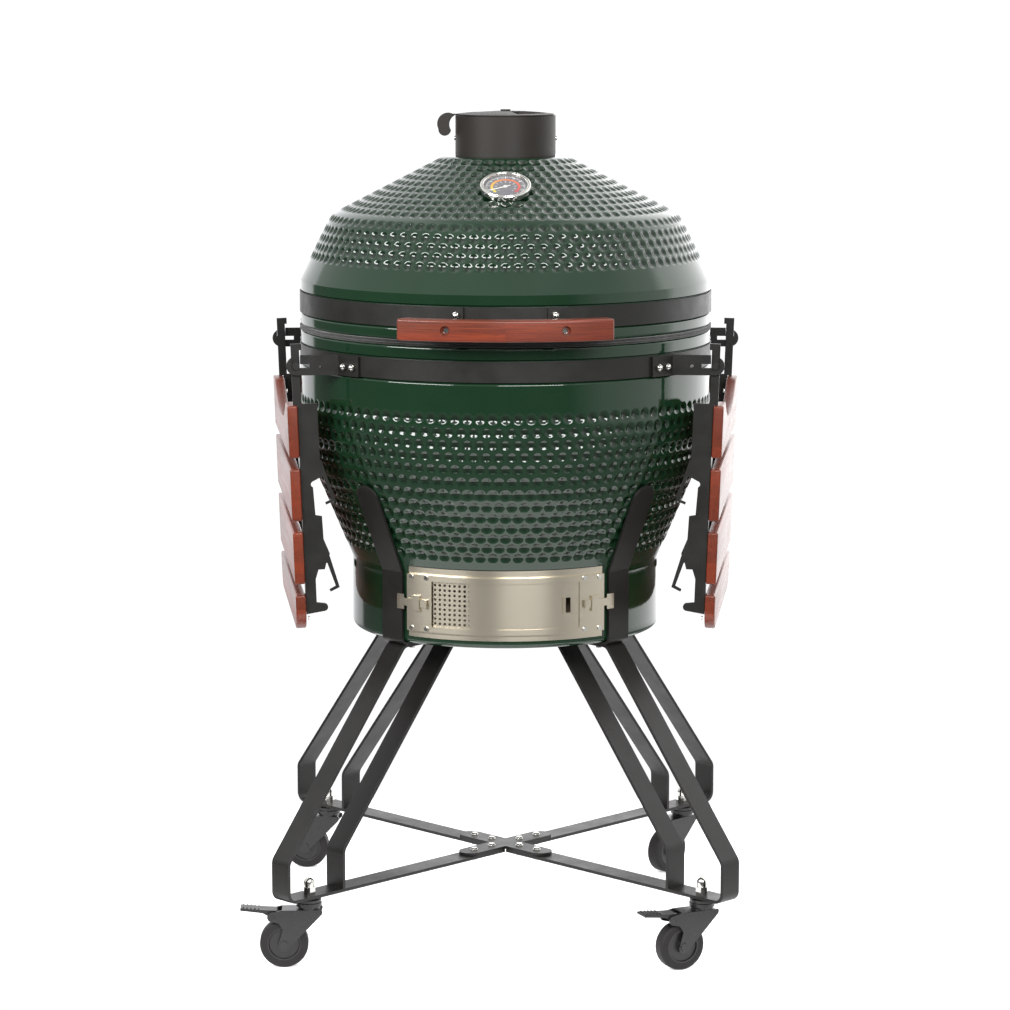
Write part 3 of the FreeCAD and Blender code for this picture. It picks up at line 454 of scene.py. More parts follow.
# %% Bowl, outside
FOOT_RADIUS, RIM_RADIUS = 248.0, 329.0       # mm, as all sizes of the pot
FOOT_TOP = 605.0
bowl_skin = joined(
    run((FOOT_RADIUS, FOOT_TOP), (295, 716), step=1.75),
    arc((295, 716), (320.5, 788), (RIM_RADIUS, 850), step=1.75),
    run((RIM_RADIUS, 850), (RIM_RADIUS, 915), step=1.75))
BOWL_ROWS = np.array([637.5, 654.0, 670.5, 687.0, 704.5, 723.0, 742.0, 762.0, 782.0, 802.0,
                      821.5, 841.0, 862.0])
BOWL_CUTS = (629.0, 714.0, 792.0, 873.0)     # heights of the joints between rings
BOWL_COLUMNS = 1160


def between(profile, low, high):
    """The stretch of a profile between two heights, with its ends exactly there."""
    ends = [[np.interp(z, profile[:, 1], profile[:, 0]), z] for z in (low, high)]
    inside = profile[(profile[:, 1] > low + 0.4) & (profile[:, 1] < high - 0.4)]
    return np.vstack([ends[0], inside, ends[1]])


for number, (low, high) in enumerate(zip(BOWL_CUTS[:-1], BOWL_CUTS[1:])):
    ring = between(bowl_skin, low, high)
    rows = BOWL_ROWS[(BOWL_ROWS > low) & (BOWL_ROWS < high)]
    skin, pool = hollowed(ring, full_circle(BOWL_COLUMNS), rows,
                          first=int((BOWL_ROWS < low).sum()))
    glazed_piece(f"bowl_hollows_{number + 1}", [(skin, True)], "bowl", "base", pool)

# %% [markdown]
# The foot and the plain top have no hollows, so they need few points. The foot has a flat seat for
# the vent and a window through its wall. The window could be cut with a Boolean, but leaving its
# faces out of the sheet keeps a clean edge.

# %% Bowl, foot with its window
VENT_SEAT_TURN, WINDOW_TURN = 38.3, 27.5     # degrees to each side of the front
VENT_SEAT_TOP = 616.5
WINDOW_LOW, WINDOW_HIGH = 520.0, 598.0


def in_window(heights, turns):
    """Which faces of a turned sheet lie in the window, from the heights and turns of its points."""
    middle_height = (heights[1:] + heights[:-1]) / 2
    middle_turn = (turns + np.append(turns[1:], turns[0] + 2 * np.pi)) / 2
    return np.outer((middle_height > WINDOW_LOW) & (middle_height < WINDOW_HIGH),
                    np.abs(middle_turn) < math.radians(WINDOW_TURN))


foot_turns = np.radians(np.concatenate([
    np.linspace(-VENT_SEAT_TURN, -WINDOW_TURN, 12, endpoint=False),
    np.linspace(-WINDOW_TURN, WINDOW_TURN, 50, endpoint=False),
    np.linspace(WINDOW_TURN, VENT_SEAT_TURN, 12, endpoint=False),
    np.linspace(VENT_SEAT_TURN, 360 - VENT_SEAT_TURN, 283, endpoint=False)]))
foot_profile = joined(
    run((0, 491), (238, 491), step=60),
    arc((238, 491), (245.1, 493.9), (FOOT_RADIUS, 501), step=1.5),
    run((FOOT_RADIUS, 501), (FOOT_RADIUS, WINDOW_LOW), (FOOT_RADIUS, WINDOW_HIGH),
        (FOOT_RADIUS, FOOT_TOP), (252.9, VENT_SEAT_TOP), (252.98, 616.7), (258.1, 629), step=8))
foot = turned(foot_profile, foot_turns)
# points between the ends of the seat are pressed back to the foot's own radius
seat_end = math.radians(VENT_SEAT_TURN) - 0.001
seat_rows = (foot_profile[:, 1] > FOOT_TOP - 1) & (foot_profile[:, 1] < VENT_SEAT_TOP + 0.1)
on_seat = np.outer(seat_rows, np.abs(foot_turns) < seat_end)
pressed = turned(np.minimum(foot_profile, [FOOT_RADIUS, np.inf]), foot_turns)
foot[on_seat] = pressed[on_seat]
foot_faces = ~in_window(foot_profile[:, 1], foot_turns)
glazed_piece("bowl_foot", [(foot, True, foot_faces)], "bowl", "base")

# %% [markdown]
# A steel band lies in a shallow recess under the rim, and the rim's edges are rounded, because
# glaze draws back from a sharp edge and leaves it bare.

# %% Bowl, plain top with the recess for its band
RECESS_RADIUS = 326.0
bowl_top = joined(
    between(bowl_skin, 873, 912.6),
    arc((RIM_RADIUS, 912.6), (328.3, 915.0), (326.2, 916.6), step=0.6),
    run((326.2, 916.6), (RECESS_RADIUS, 917), (RECESS_RADIUS, 951), (RIM_RADIUS, 953),
        (RIM_RADIUS, 967), step=4),
    arc((RIM_RADIUS, 967), (327.8, 969.8), (325, 971), step=0.8))
glazed_piece("bowl_rim", [(turned(bowl_top, full_circle(360)), True)], "bowl", "base")

# %% [markdown]
# Inside, the bowl is bare clay. Its wall is 25 mm thick, and the four sides of the window are
# narrow sheets from the outer face to the inner one.

# %% Bowl, inside
LINING_RADIUS = 223.0    # round the window
bowl_inside = joined(
    run((325, 971), (304, 971), (304, 850), step=12),
    arc((304, 850), (296.5, 788), (270, 726.6), step=10),
    run((270, 726.6), (LINING_RADIUS, 615), (LINING_RADIUS, WINDOW_HIGH),
        (LINING_RADIUS, WINDOW_LOW), (LINING_RADIUS, 516), (0, 516), step=30))
lining_faces = ~in_window(bowl_inside[:, 1], foot_turns)
reveal_turns = np.radians(np.linspace(-WINDOW_TURN, WINDOW_TURN, 51))
outer_low, outer_high = (FOOT_RADIUS, WINDOW_LOW), (FOOT_RADIUS, WINDOW_HIGH)
inner_low, inner_high = (LINING_RADIUS, WINDOW_LOW), (LINING_RADIUS, WINDOW_HIGH)
reveals = [turned(np.array([outer_low, inner_low]), reveal_turns),
           turned(np.array([inner_high, outer_high]), reveal_turns)]
for turn, ends in ((-WINDOW_TURN, ((outer_low, outer_high), (inner_low, inner_high))),
                   (WINDOW_TURN, ((inner_low, inner_high), (outer_low, outer_high)))):
    here = np.radians([turn])
    reveals.append(np.stack([turned(np.array(end), here)[:, 0] for end in ends], axis=1))
bowl_lining = sew("bowl_lining", [(turned(bowl_inside, foot_turns), True, lining_faces)]
                  + [(reveal, False) for reveal in reveals], BISQUE)
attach(bowl_lining, "base")
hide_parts("bowl")

# %% [markdown]
# ### The lid
#
# The lid is a steep cone under a shallow one. Five rows of hollows run round the steep one and ten
# round the shallow one, and the collar under the chimney is plain.

# %% Lid, outside
lid_skin = joined(
    run((RIM_RADIUS, 1050), (RIM_RADIUS, 1051), step=1.0),
    arc((RIM_RADIUS, 1051), (309, 1092), (284.2, 1141.6), step=1.7),
    arc((284.2, 1141.6), (276.87, 1151.84), (266.7, 1159.3), step=1.2),
    run((266.7, 1159.3), (106, 1241.9), step=1.75),
    arc((106, 1241.9), (99, 1245), (92, 1246), step=1.5))
LID_STEEP_ROWS = np.array([1091.0, 1105.0, 1119.0, 1133.0, 1149.5])
LID_SHALLOW_ROWS = np.interp(256.3 - 16.2 * np.arange(10), lid_skin[::-1, 0], lid_skin[::-1, 1])
# each ring: its lower and upper edge, its rows, columns of points, half height and pitch of hollows
LID_RINGS = ((1051.0, 1156.9, LID_STEEP_ROWS, 1160, 7.4, HOLLOW_PITCH),
             (1156.9, 1202.1, LID_SHALLOW_ROWS, 1080, 8.4, 18.6),
             (1202.1, 1245.6, LID_SHALLOW_ROWS, 760, 8.4, 18.6))
for number, (low, high, all_rows, columns, tall, pitch) in enumerate(LID_RINGS):
    rows = all_rows[(all_rows > low) & (all_rows < high)]
    skin, pool = hollowed(between(lid_skin, low, high), full_circle(columns), rows, tall=tall,
                          pitch=pitch, first=int((all_rows < low).sum()))
    glazed_piece(f"lid_hollows_{number + 1}", [(skin, True)], "dome", "lid", pool)

# %% [markdown]
# The lid's rim has a recess for its own band, like the bowl's. The collar is a flat ring that the
# chimney stands on.

# %% Lid, rim with its recess and the collar
lid_rim = joined(
    arc((325, 980.2), (327.8, 981.4), (RIM_RADIUS, 984.2), step=0.8),
    run((RIM_RADIUS, 984.2), (RIM_RADIUS, 994.6), step=4),
    arc((RIM_RADIUS, 994.6), (328.3, 997.0), (326.2, 998.6), step=0.6),
    run((326.2, 998.6), (RECESS_RADIUS, 999), (RECESS_RADIUS, 1034), (RIM_RADIUS, 1036),
        (RIM_RADIUS, 1051), step=4))
lid_collar = joined(between(lid_skin, 1245.6, 1246.0), run((92, 1246), (52, 1246), step=10))
plain_parts = [(turned(profile, full_circle(360)), True) for profile in (lid_rim, lid_collar)]
glazed_piece("lid_rim", plain_parts, "dome", "lid")

# %% [markdown]
# Inside, the lid is bare clay too: one smooth vault with a round hole for the smoke.

# %% Lid, inside
lid_inside = run((52, 1246), (52, 1221), (90, 1221), (259, 1135), (304, 1048), (304, 980.2),
                 (325, 980.2), step=14)
lid_lining = sew("lid_lining", [(turned(lid_inside, full_circle(240)), True)], BISQUE)
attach(lid_lining, "lid")
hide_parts("dome")

# %% [markdown]
# ## Felt seals
#
# Two rings of black aramid felt close the seam. Pressed felt has no sharp edges: it bulges where it
# is squeezed, and short fibres make it dull and slightly ragged.

# %% Felt
def pressed_felt(tree):
    """Black needled felt: no gloss, a fuzz of fibres about 0.5 mm across, drawn at 0.7 mm."""
    place = add(tree, "TexCoord").outputs["Object"]
    fibre = add(tree, "TexNoise", inputs={
        "Vector": place, "Scale": 1400.0, "Detail": 4.0, "Roughness": 0.7})
    colour = add(tree, "MixRGB", inputs={
        0: fibre.outputs["Fac"], 1: tint("#0B0B0B"), 2: tint("#262522")})
    bump = add(tree, "Bump", inputs={
        "Strength": 0.9, "Distance": 0.0008, "Height": fibre.outputs["Fac"]})
    return add(tree, "BsdfPrincipled", inputs={
        "Base Color": colour.outputs[0], "Roughness": 0.95, "Specular IOR Level": 0.15,
        "Sheen Weight": 0.3, "Sheen Roughness": 0.5, "Normal": bump.outputs[0]})


FELT = finish("black aramid felt, needled", pressed_felt)
FELT_HALF_WIDE = 12.0    # mm


def felt_ring(name, node, body):
    """A ring whose section is a pillow: the outer edge swells by a slow uneven wave."""
    low, high = (corner[2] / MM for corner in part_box(node))
    outer = max(abs(v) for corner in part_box(node) for v in corner[:2]) / MM
    half_tall, middle = (high - low) / 2, (high + low) / 2
    c, s = np.cos(full_circle(24)), np.sin(full_circle(24))
    # a superellipse: cosine and sine, each raised to a power under one, make a rounded block
    r = outer - FELT_HALF_WIDE + FELT_HALF_WIDE * np.sign(c) * np.abs(c) ** 0.35
    z = middle + half_tall * np.sign(s) * np.abs(s) ** 0.55
    turns = full_circle(420)
    section = np.column_stack([r, z])
    points = turned(np.vstack([section, section[:1]]), turns)
    wave = 0.4 * np.sin(17 * turns + 1) + 0.3 * np.sin(41 * turns) + 0.2 * np.sin(97 * turns + 2)
    swell = np.append(c, 1.0)[:, None].clip(0, 1) * (wave - 0.9)[None, :] * MM
    points[..., 0] += swell * np.sin(turns)
    points[..., 1] -= swell * np.cos(turns)
    ring = sew(name, [(points, True)], FELT, smooth_angle=80)
    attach(ring, body)
    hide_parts(node)
    return ring


felt_ring("lower_felt", "lower_gasket", "base")
felt_ring("upper_felt", "upper_gasket", "lid")

# %% [markdown]
# ## Lacquered hardwood
#
# The shelf boards and the handle are strips of hardwood glued side by side, stained red-brown and
# lacquered. The pattern has three scales: strips about 20 mm wide that differ in tone, fibres that
# run along each strip, and short dark pores. Each board stores, for every point, its place along,
# across and through the wood, so that the grain follows the board wherever it hangs.

# %% Wood
HANDLE_RADIUS = 0.39     # metres, of the bent handle's arc about the pot's axis


def laminated_wood(tree, place):
    """Stained, lacquered lamination: grain from its place (along, across, through), in metres."""
    # a strip is 19 mm wide and 450 mm long
    strip_place = add(tree, "VectorMath", {"operation": "MULTIPLY"}, {
        0: place, 1: (2.2, 52.0, 0.0)})
    strip = add(tree, "VectorMath", {"operation": "FLOOR"}, {0: strip_place.outputs[0]})
    strip_tone = add(tree, "TexWhiteNoise", {"noise_dimensions": "3D"}, {
        "Vector": strip.outputs[0]})
    # fibres are 60 times longer than wide; their width, 1.2 mm, is coarse enough to see
    fibre_place = add(tree, "VectorMath", {"operation": "MULTIPLY"}, {
        0: place, 1: (14.0, 800.0, 800.0)})
    fibre_start = add(tree, "VectorMath", {"operation": "ADD"}, {
        0: fibre_place.outputs[0], 1: strip_tone.outputs["Color"]})
    fibre = add(tree, "TexNoise", inputs={
        "Vector": fibre_start.outputs[0], "Scale": 1.0, "Detail": 5.0, "Roughness": 0.65,
        "Distortion": 0.4})
    # the figure is wavy bands 11 mm wide and 200 mm long
    figure_place = add(tree, "VectorMath", {"operation": "MULTIPLY"}, {
        0: place, 1: (5.0, 90.0, 90.0)})
    figure = add(tree, "TexNoise", inputs={
        "Vector": figure_place.outputs[0], "Scale": 1.0, "Detail": 3.0, "Distortion": 1.2})
    # pores are 0.4 mm wide and 11 mm long
    pore_place = add(tree, "VectorMath", {"operation": "MULTIPLY"}, {
        0: place, 1: (90.0, 2400.0, 2400.0)})
    pore = add(tree, "TexNoise", inputs={
        "Vector": pore_place.outputs[0], "Scale": 1.0, "Detail": 1.0})
    stain = add(tree, "ValToRGB", inputs={"Fac": fibre.outputs["Fac"]})
    tones = stain.color_ramp.elements
    tones[0].position, tones[0].color = 0.30, tint("#4C1704")
    tones[1].position, tones[1].color = 0.72, tint("#83340E")
    tones.new(0.5).color = tint("#692409")
    streaked = add(tree, "MixRGB", {"blend_type": "MULTIPLY"}, {
        0: 0.35, 1: stain.outputs[0], 2: figure.outputs["Color"]})
    toned = add(tree, "MapRange", inputs={"Value": strip_tone.outputs["Value"], "To Min": 0.78,
                                          "To Max": 1.22})
    strip_colour = add(tree, "VectorMath", {"operation": "SCALE"}, {
        0: streaked.outputs[0], "Scale": toned.outputs[0]})
    pore_share = add(tree, "MapRange", inputs={"Value": pore.outputs["Fac"], "From Min": 0.62,
                                               "From Max": 0.72, "To Max": 0.6})
    colour = add(tree, "MixRGB", inputs={0: pore_share.outputs[0], 1: strip_colour.outputs[0],
                                         2: tint("#2A0C05")})
    gloss = add(tree, "MapRange", inputs={
        "Value": figure.outputs["Fac"], "To Min": 0.30, "To Max": 0.5})
    bump = add(tree, "Bump", inputs={
        "Strength": 0.25, "Distance": 0.0004, "Height": fibre.outputs["Fac"]})
    return add(tree, "BsdfPrincipled", inputs={
        "Base Color": colour.outputs[0], "Roughness": gloss.outputs[0], "Specular IOR Level": 0.4,
        "Coat Weight": 0.2, "Coat Roughness": 0.15, "Normal": bump.outputs[0]})


def board_wood(tree):
    """The wood of a board, which carries its grain in an attribute."""
    grain = add(tree, "Attribute", {"attribute_name": "grain"})
    return laminated_wood(tree, grain.outputs["Vector"])


def bent_wood(tree):
    """The wood of the bent handle: the grain follows the arc, so along = radius x turn."""
    place = add(tree, "SeparateXYZ", inputs={0: add(tree, "TexCoord").outputs["Object"]})
    towards_cook = add(tree, "Math", {"operation": "MULTIPLY"}, {0: place.outputs["Y"], 1: -1.0})
    turn = add(tree, "Math", {"operation": "ARCTAN2"}, {
        0: place.outputs["X"], 1: towards_cook.outputs[0]})
    along = add(tree, "Math", {"operation": "MULTIPLY"}, {0: turn.outputs[0], 1: HANDLE_RADIUS})
    level = add(tree, "CombineXYZ", inputs={"X": place.outputs["X"], "Y": place.outputs["Y"]})
    out = add(tree, "VectorMath", {"operation": "LENGTH"}, {0: level.outputs[0]})
    grain = add(tree, "CombineXYZ", inputs={"X": along.outputs[0], "Y": place.outputs["Z"],
                                            "Z": out.outputs["Value"]})
    return laminated_wood(tree, grain.outputs[0])


BOARD_WOOD = finish("laminated hardwood, stained and lacquered", board_wood)
BENT_WOOD = finish("bent laminated hardwood, stained and lacquered", bent_wood)

# %% [markdown]
# A board is its outline carried through its thickness. At each face the outline shrinks a little,
# following a quarter circle, which is the round-over that a router leaves.

# %% Boards
SHELF_PIVOT = np.array([350.0, 0.0, 931.7])      # mm, as all sizes of the boards
SHELF_SPLAY, SHELF_LEAN = math.radians(6.6), math.radians(2.0)
BOARD_HALF_LONG, BOARD_THICK, ROUND_OVER = 220.0, 16.0, 2.6
BOARD_WIDTHS, BOARD_GAP, FIRST_BOARD_TOP = (82.0, 82.0, 82.0, 58.0), 17.5, -62.0
SMALL_CORNER = 3.0
LOWER_CORNERS = (SMALL_CORNER, SMALL_CORNER, SMALL_CORNER, 38.0)
# the notch clears the pot: an arc whose centre is over the board's top edge
NOTCH_RADIUS, NOTCH_CENTRE_UP, NOTCH_HALF_LONG = 355.0, 316.0, 162.0


def to_shelf(points, side):
    """From the shelf's own axes to the frame: lean about Y, splay about Z, move, mirror."""
    lean = np.array([[math.cos(SHELF_LEAN), 0, math.sin(SHELF_LEAN)], [0, 1, 0],
                     [-math.sin(SHELF_LEAN), 0, math.cos(SHELF_LEAN)]])
    splay = np.array([[math.cos(SHELF_SPLAY), math.sin(SHELF_SPLAY), 0],
                      [-math.sin(SHELF_SPLAY), math.cos(SHELF_SPLAY), 0], [0, 0, 1]])
    placed = points @ (splay @ lean).T + SHELF_PIVOT
    return placed * np.array([side, 1, 1]) * MM


def board_outline(top, width, lower_corner, notch):
    """Outline points (along, height): straight runs with quarter circles, and the notch's arc."""
    half, bottom = BOARD_HALF_LONG, top - width
    corners = ((half, bottom, lower_corner, -90), (half, top, SMALL_CORNER, 0),
               (-half, top, SMALL_CORNER, 90), (-half, bottom, lower_corner, 180))
    outline = []
    for y, z, radius, start in corners:
        angle = np.radians(np.linspace(start, start + 90, 8 if radius < 10 else 24))
        middle = np.array([y - math.copysign(radius, y), z + (radius if z < top else -radius)])
        outline.append(middle + radius * np.column_stack([np.cos(angle), np.sin(angle)]))
        if z == top and y > 0 and notch:
            y_notch = np.linspace(NOTCH_HALF_LONG, -NOTCH_HALF_LONG, 61)
            z_notch = top + NOTCH_CENTRE_UP - np.sqrt(NOTCH_RADIUS ** 2 - y_notch ** 2)
            outline.append(np.column_stack([y_notch, z_notch]))
    return np.concatenate(outline)


def plank(name, outline, side, node, body, seed):
    """The outline swept through the board's thickness, with rounded edges and two flat faces."""
    before, after = np.roll(outline, 1, axis=0), np.roll(outline, -1, axis=0)
    edge = after - before
    normal = np.column_stack([edge[:, 1], -edge[:, 0]]) / np.hypot(*edge.T)[:, None]
    quarter = np.radians(np.linspace(0, 90, 5))
    inset = ROUND_OVER * (1 - np.sin(quarter))
    depth = ROUND_OVER * (1 - np.cos(quarter))
    inset = np.concatenate([inset, inset[::-1]])
    depth = np.concatenate([depth, BOARD_THICK - depth[::-1]])
    flat = outline[None] - inset[:, None, None] * normal[None]
    rows, columns = flat.shape[:2]
    through = np.broadcast_to(depth[:, None, None], (rows, columns, 1))
    local = np.concatenate([through, flat], axis=-1).reshape(-1, 3)
    quads = sheet_faces(rows, columns, True, 0).reshape(-1, 4)
    caps = [np.arange(columns)[::-1], np.arange(columns) + (rows - 1) * columns]
    faces = [f[::side].tolist() for f in quads] + [f[::side].tolist() for f in caps]
    mesh = bpy.data.meshes.new(name)
    mesh.from_pydata(to_shelf(local, side), [], faces)
    mesh.shade_smooth()
    mesh.set_sharp_from_angle(angle=math.radians(35))
    shift = np.random.default_rng(seed).uniform(0, 3, 3)
    along_across_through = local[:, [1, 2, 0]] * MM + shift
    grain = mesh.attributes.new("grain", "FLOAT_VECTOR", "POINT")
    grain.data.foreach_set("vector", along_across_through.astype(np.float32).ravel())
    mesh.materials.append(BOARD_WOOD)
    piece = bpy.data.objects.new(name, mesh)
    bpy.context.scene.collection.objects.link(piece)
    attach(piece, body)
    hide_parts(node)
    return piece


for side, word in ((1, "right"), (-1, "left")):
    top = FIRST_BOARD_TOP
    for number, (width, lower_corner) in enumerate(zip(BOARD_WIDTHS, LOWER_CORNERS)):
        outline = board_outline(top, width, lower_corner, notch=number == 0)
        plank(f"board_{word}_{number + 1}", outline, side, "shelf_slats_" + word, "shelf_" + word,
              seed=10 * number + side + 1)
        top -= width + BOARD_GAP
print("boards on each side:", len(BOARD_WIDTHS))

# %% [markdown]
# ## Metals, rubber and plastics
#
# Most of the cart is flat steel bar under a satin black powder coat. The powder melts into a skin
# with a fine leathery ripple, so highlights on it are soft and slightly broken. The pressed caster
# forks have a thinner paint, and the cast cap of the chimney a dull one that stands the heat. A
# Bevel node rounds the corners of bent and pressed steel in the shading, where the model has sharp
# ones.

# %% Coated steel
SLOT_FINISH = {"fire_clay": BISQUE, "bamboo": BENT_WOOD}


def powder_coat(tree):
    """Satin black polyester powder coat: ripple 1.5 mm apart, rubbed patches 45 mm across."""
    place = add(tree, "TexCoord").outputs["Object"]
    ripple = add(tree, "TexNoise", inputs={"Vector": place, "Scale": 650.0, "Detail": 2.0})
    wear = add(tree, "TexNoise", inputs={
        "Vector": place, "Scale": 22.0, "Detail": 6.0, "Roughness": 0.7})
    colour = add(tree, "MixRGB", inputs={
        0: wear.outputs["Fac"], 1: tint("#121210"), 2: tint("#1C1B19")})
    gloss = add(tree, "MapRange", inputs={"Value": wear.outputs["Fac"], "From Min": 0.3,
                                          "From Max": 0.7, "To Min": 0.34, "To Max": 0.5})
    soft_edge = add(tree, "Bevel", {"samples": 4}, {"Radius": 0.0009})
    bump = add(tree, "Bump", inputs={
        "Strength": 0.35, "Distance": 0.0003, "Height": ripple.outputs["Fac"],
        "Normal": soft_edge.outputs[0]})
    return add(tree, "BsdfPrincipled", inputs={
        "Base Color": colour.outputs[0], "Roughness": gloss.outputs[0], "Specular IOR Level": 0.3,
        "Normal": bump.outputs[0]})


def caster_paint(tree):
    """Black dip paint on pressed steel: thinner and glossier than powder, scuffs 8 mm across."""
    place = add(tree, "TexCoord").outputs["Object"]
    scuff = add(tree, "TexNoise", inputs={
        "Vector": place, "Scale": 120.0, "Detail": 5.0, "Roughness": 0.75})
    colour = add(tree, "MixRGB", inputs={
        0: scuff.outputs["Fac"], 1: tint("#0D0D0C"), 2: tint("#181716")})
    gloss = add(tree, "MapRange", inputs={
        "Value": scuff.outputs["Fac"], "To Min": 0.16, "To Max": 0.42})
    soft_edge = add(tree, "Bevel", {"samples": 4}, {"Radius": 0.0007})
    return add(tree, "BsdfPrincipled", inputs={
        "Base Color": colour.outputs[0], "Roughness": gloss.outputs[0], "IOR": 1.5,
        "Normal": soft_edge.outputs[0]})


def heat_black(tree):
    """Heat-proof black on cast metal: flat and warm, a grain of 2 mm, soot in clouds of 70 mm."""
    place = add(tree, "TexCoord").outputs["Object"]
    casting = add(tree, "TexNoise", inputs={"Vector": place, "Scale": 500.0, "Detail": 4.0})
    soot = add(tree, "TexNoise", inputs={"Vector": place, "Scale": 14.0, "Detail": 5.0})
    colour = add(tree, "MixRGB", inputs={
        0: soot.outputs["Fac"], 1: tint("#15120E"), 2: tint("#201B16")})
    gloss = add(tree, "MapRange", inputs={
        "Value": soot.outputs["Fac"], "To Min": 0.42, "To Max": 0.62})
    soft_edge = add(tree, "Bevel", {"samples": 4}, {"Radius": 0.0015})
    bump = add(tree, "Bump", inputs={
        "Strength": 0.3, "Distance": 0.0005, "Height": casting.outputs["Fac"],
        "Normal": soft_edge.outputs[0]})
    return add(tree, "BsdfPrincipled", inputs={
        "Base Color": colour.outputs[0], "Roughness": gloss.outputs[0], "Specular IOR Level": 0.3,
        "Normal": bump.outputs[0]})


SLOT_FINISH["black_steel"] = finish("satin black powder coat on steel", powder_coat)
SLOT_FINISH["caster_steel"] = finish("black electrocoat on pressed steel", caster_paint)
HEAT_BLACK = finish("heat-proof black on cast metal", heat_black)

# %% [markdown]
# The bare metals are chromed nuts, the brushed stainless vent and the iron of the grates. What
# tells them apart is how they were worked: polishing leaves a mirror, an abrasive belt leaves
# scratches along the sheet that draw a highlight out across them, and sand leaves a coarse skin.

# %% Bare metals
def chromed_steel(tree):
    """Nickel-chrome plate on nuts and bezel: a mirror with a faint haze in patches of 6 mm."""
    place = add(tree, "TexCoord").outputs["Object"]
    haze = add(tree, "TexNoise", inputs={"Vector": place, "Scale": 160.0, "Detail": 4.0})
    gloss = add(tree, "MapRange", inputs={"Value": haze.outputs["Fac"], "From Min": 0.3,
                                          "From Max": 0.7, "To Min": 0.06, "To Max": 0.2})
    colour = add(tree, "MixRGB", inputs={
        0: haze.outputs["Fac"], 1: tint("#C4C2BC"), 2: tint("#D6D5D0")})
    soft_edge = add(tree, "Bevel", {"samples": 4}, {"Radius": 0.0005})
    return add(tree, "BsdfPrincipled", inputs={
        "Base Color": colour.outputs[0], "Metallic": 1.0, "Roughness": gloss.outputs[0],
        "Normal": soft_edge.outputs[0]})


def brushed_stainless(tree):
    """Stainless sheet, belt-brushed round the foot: scratches 0.5 mm wide and some 80 mm long."""
    place = add(tree, "SeparateXYZ", inputs={0: add(tree, "TexCoord").outputs["Object"]})
    front = add(tree, "Math", {"operation": "MULTIPLY"}, {0: place.outputs["Y"], 1: -1.0})
    turn = add(tree, "Math", {"operation": "ARCTAN2"}, {0: place.outputs["X"], 1: front.outputs[0]})
    along = add(tree, "Math", {"operation": "MULTIPLY"}, {0: turn.outputs[0], 1: 3.0})
    across = add(tree, "Math", {"operation": "MULTIPLY"}, {0: place.outputs["Z"], 1: 1900.0})
    belt = add(tree, "CombineXYZ", inputs={"X": along.outputs[0], "Y": across.outputs[0]})
    scratch = add(tree, "TexNoise", inputs={"Vector": belt.outputs[0], "Scale": 1.0, "Detail": 4.0,
                                            "Roughness": 0.7})
    colour = add(tree, "MixRGB", inputs={
        0: scratch.outputs["Fac"], 1: tint("#BDB4A0"), 2: tint("#DFD7C6")})
    # a light seen in scratches is drawn out across them, here upwards: a quarter turn from round Z
    brush = add(tree, "Tangent", {"direction_type": "RADIAL", "axis": "Z"})
    bump = add(tree, "Bump", inputs={
        "Strength": 0.12, "Distance": 0.0002, "Height": scratch.outputs["Fac"]})
    return add(tree, "BsdfPrincipled", inputs={
        "Base Color": colour.outputs[0], "Metallic": 1.0, "Roughness": 0.27,
        "Anisotropic": 0.8, "Anisotropic Rotation": 0.25, "Tangent": brush.outputs[0],
        "Normal": bump.outputs[0]})


def cast_iron(tree):
    """Seasoned grey iron: the sand mould's tooth is 1.1 mm across, patches of oil are 33 mm."""
    place = add(tree, "TexCoord").outputs["Object"]
    sand = add(tree, "TexNoise", inputs={
        "Vector": place, "Scale": 900.0, "Detail": 4.0, "Roughness": 0.7})
    oil = add(tree, "TexNoise", inputs={"Vector": place, "Scale": 30.0, "Detail": 3.0})
    colour = add(tree, "MixRGB", inputs={
        0: oil.outputs["Fac"], 1: tint("#1A1917"), 2: tint("#312F2B")})
    gloss = add(tree, "MapRange", inputs={
        "Value": oil.outputs["Fac"], "To Min": 0.4, "To Max": 0.7})
    soft_edge = add(tree, "Bevel", {"samples": 4}, {"Radius": 0.0012})
    bump = add(tree, "Bump", inputs={
        "Strength": 0.6, "Distance": 0.0006, "Height": sand.outputs["Fac"],
        "Normal": soft_edge.outputs[0]})
    return add(tree, "BsdfPrincipled", inputs={
        "Base Color": colour.outputs[0], "Roughness": gloss.outputs[0], "Specular IOR Level": 0.6,
        "Normal": bump.outputs[0]})


SLOT_FINISH["chrome_steel"] = finish("chromed steel, polished", chromed_steel)
SLOT_FINISH["stainless"] = finish("stainless steel, brushed", brushed_stainless)
SLOT_FINISH["cast_iron"] = finish("cast iron, seasoned", cast_iron)

# %% [markdown]
# The tyres are moulded rubber, and hubs and pedals are moulded plastic. Neither has a colour of its
# own beside black, so the gloss tells them apart: rubber is dull, the plastic looks waxy.

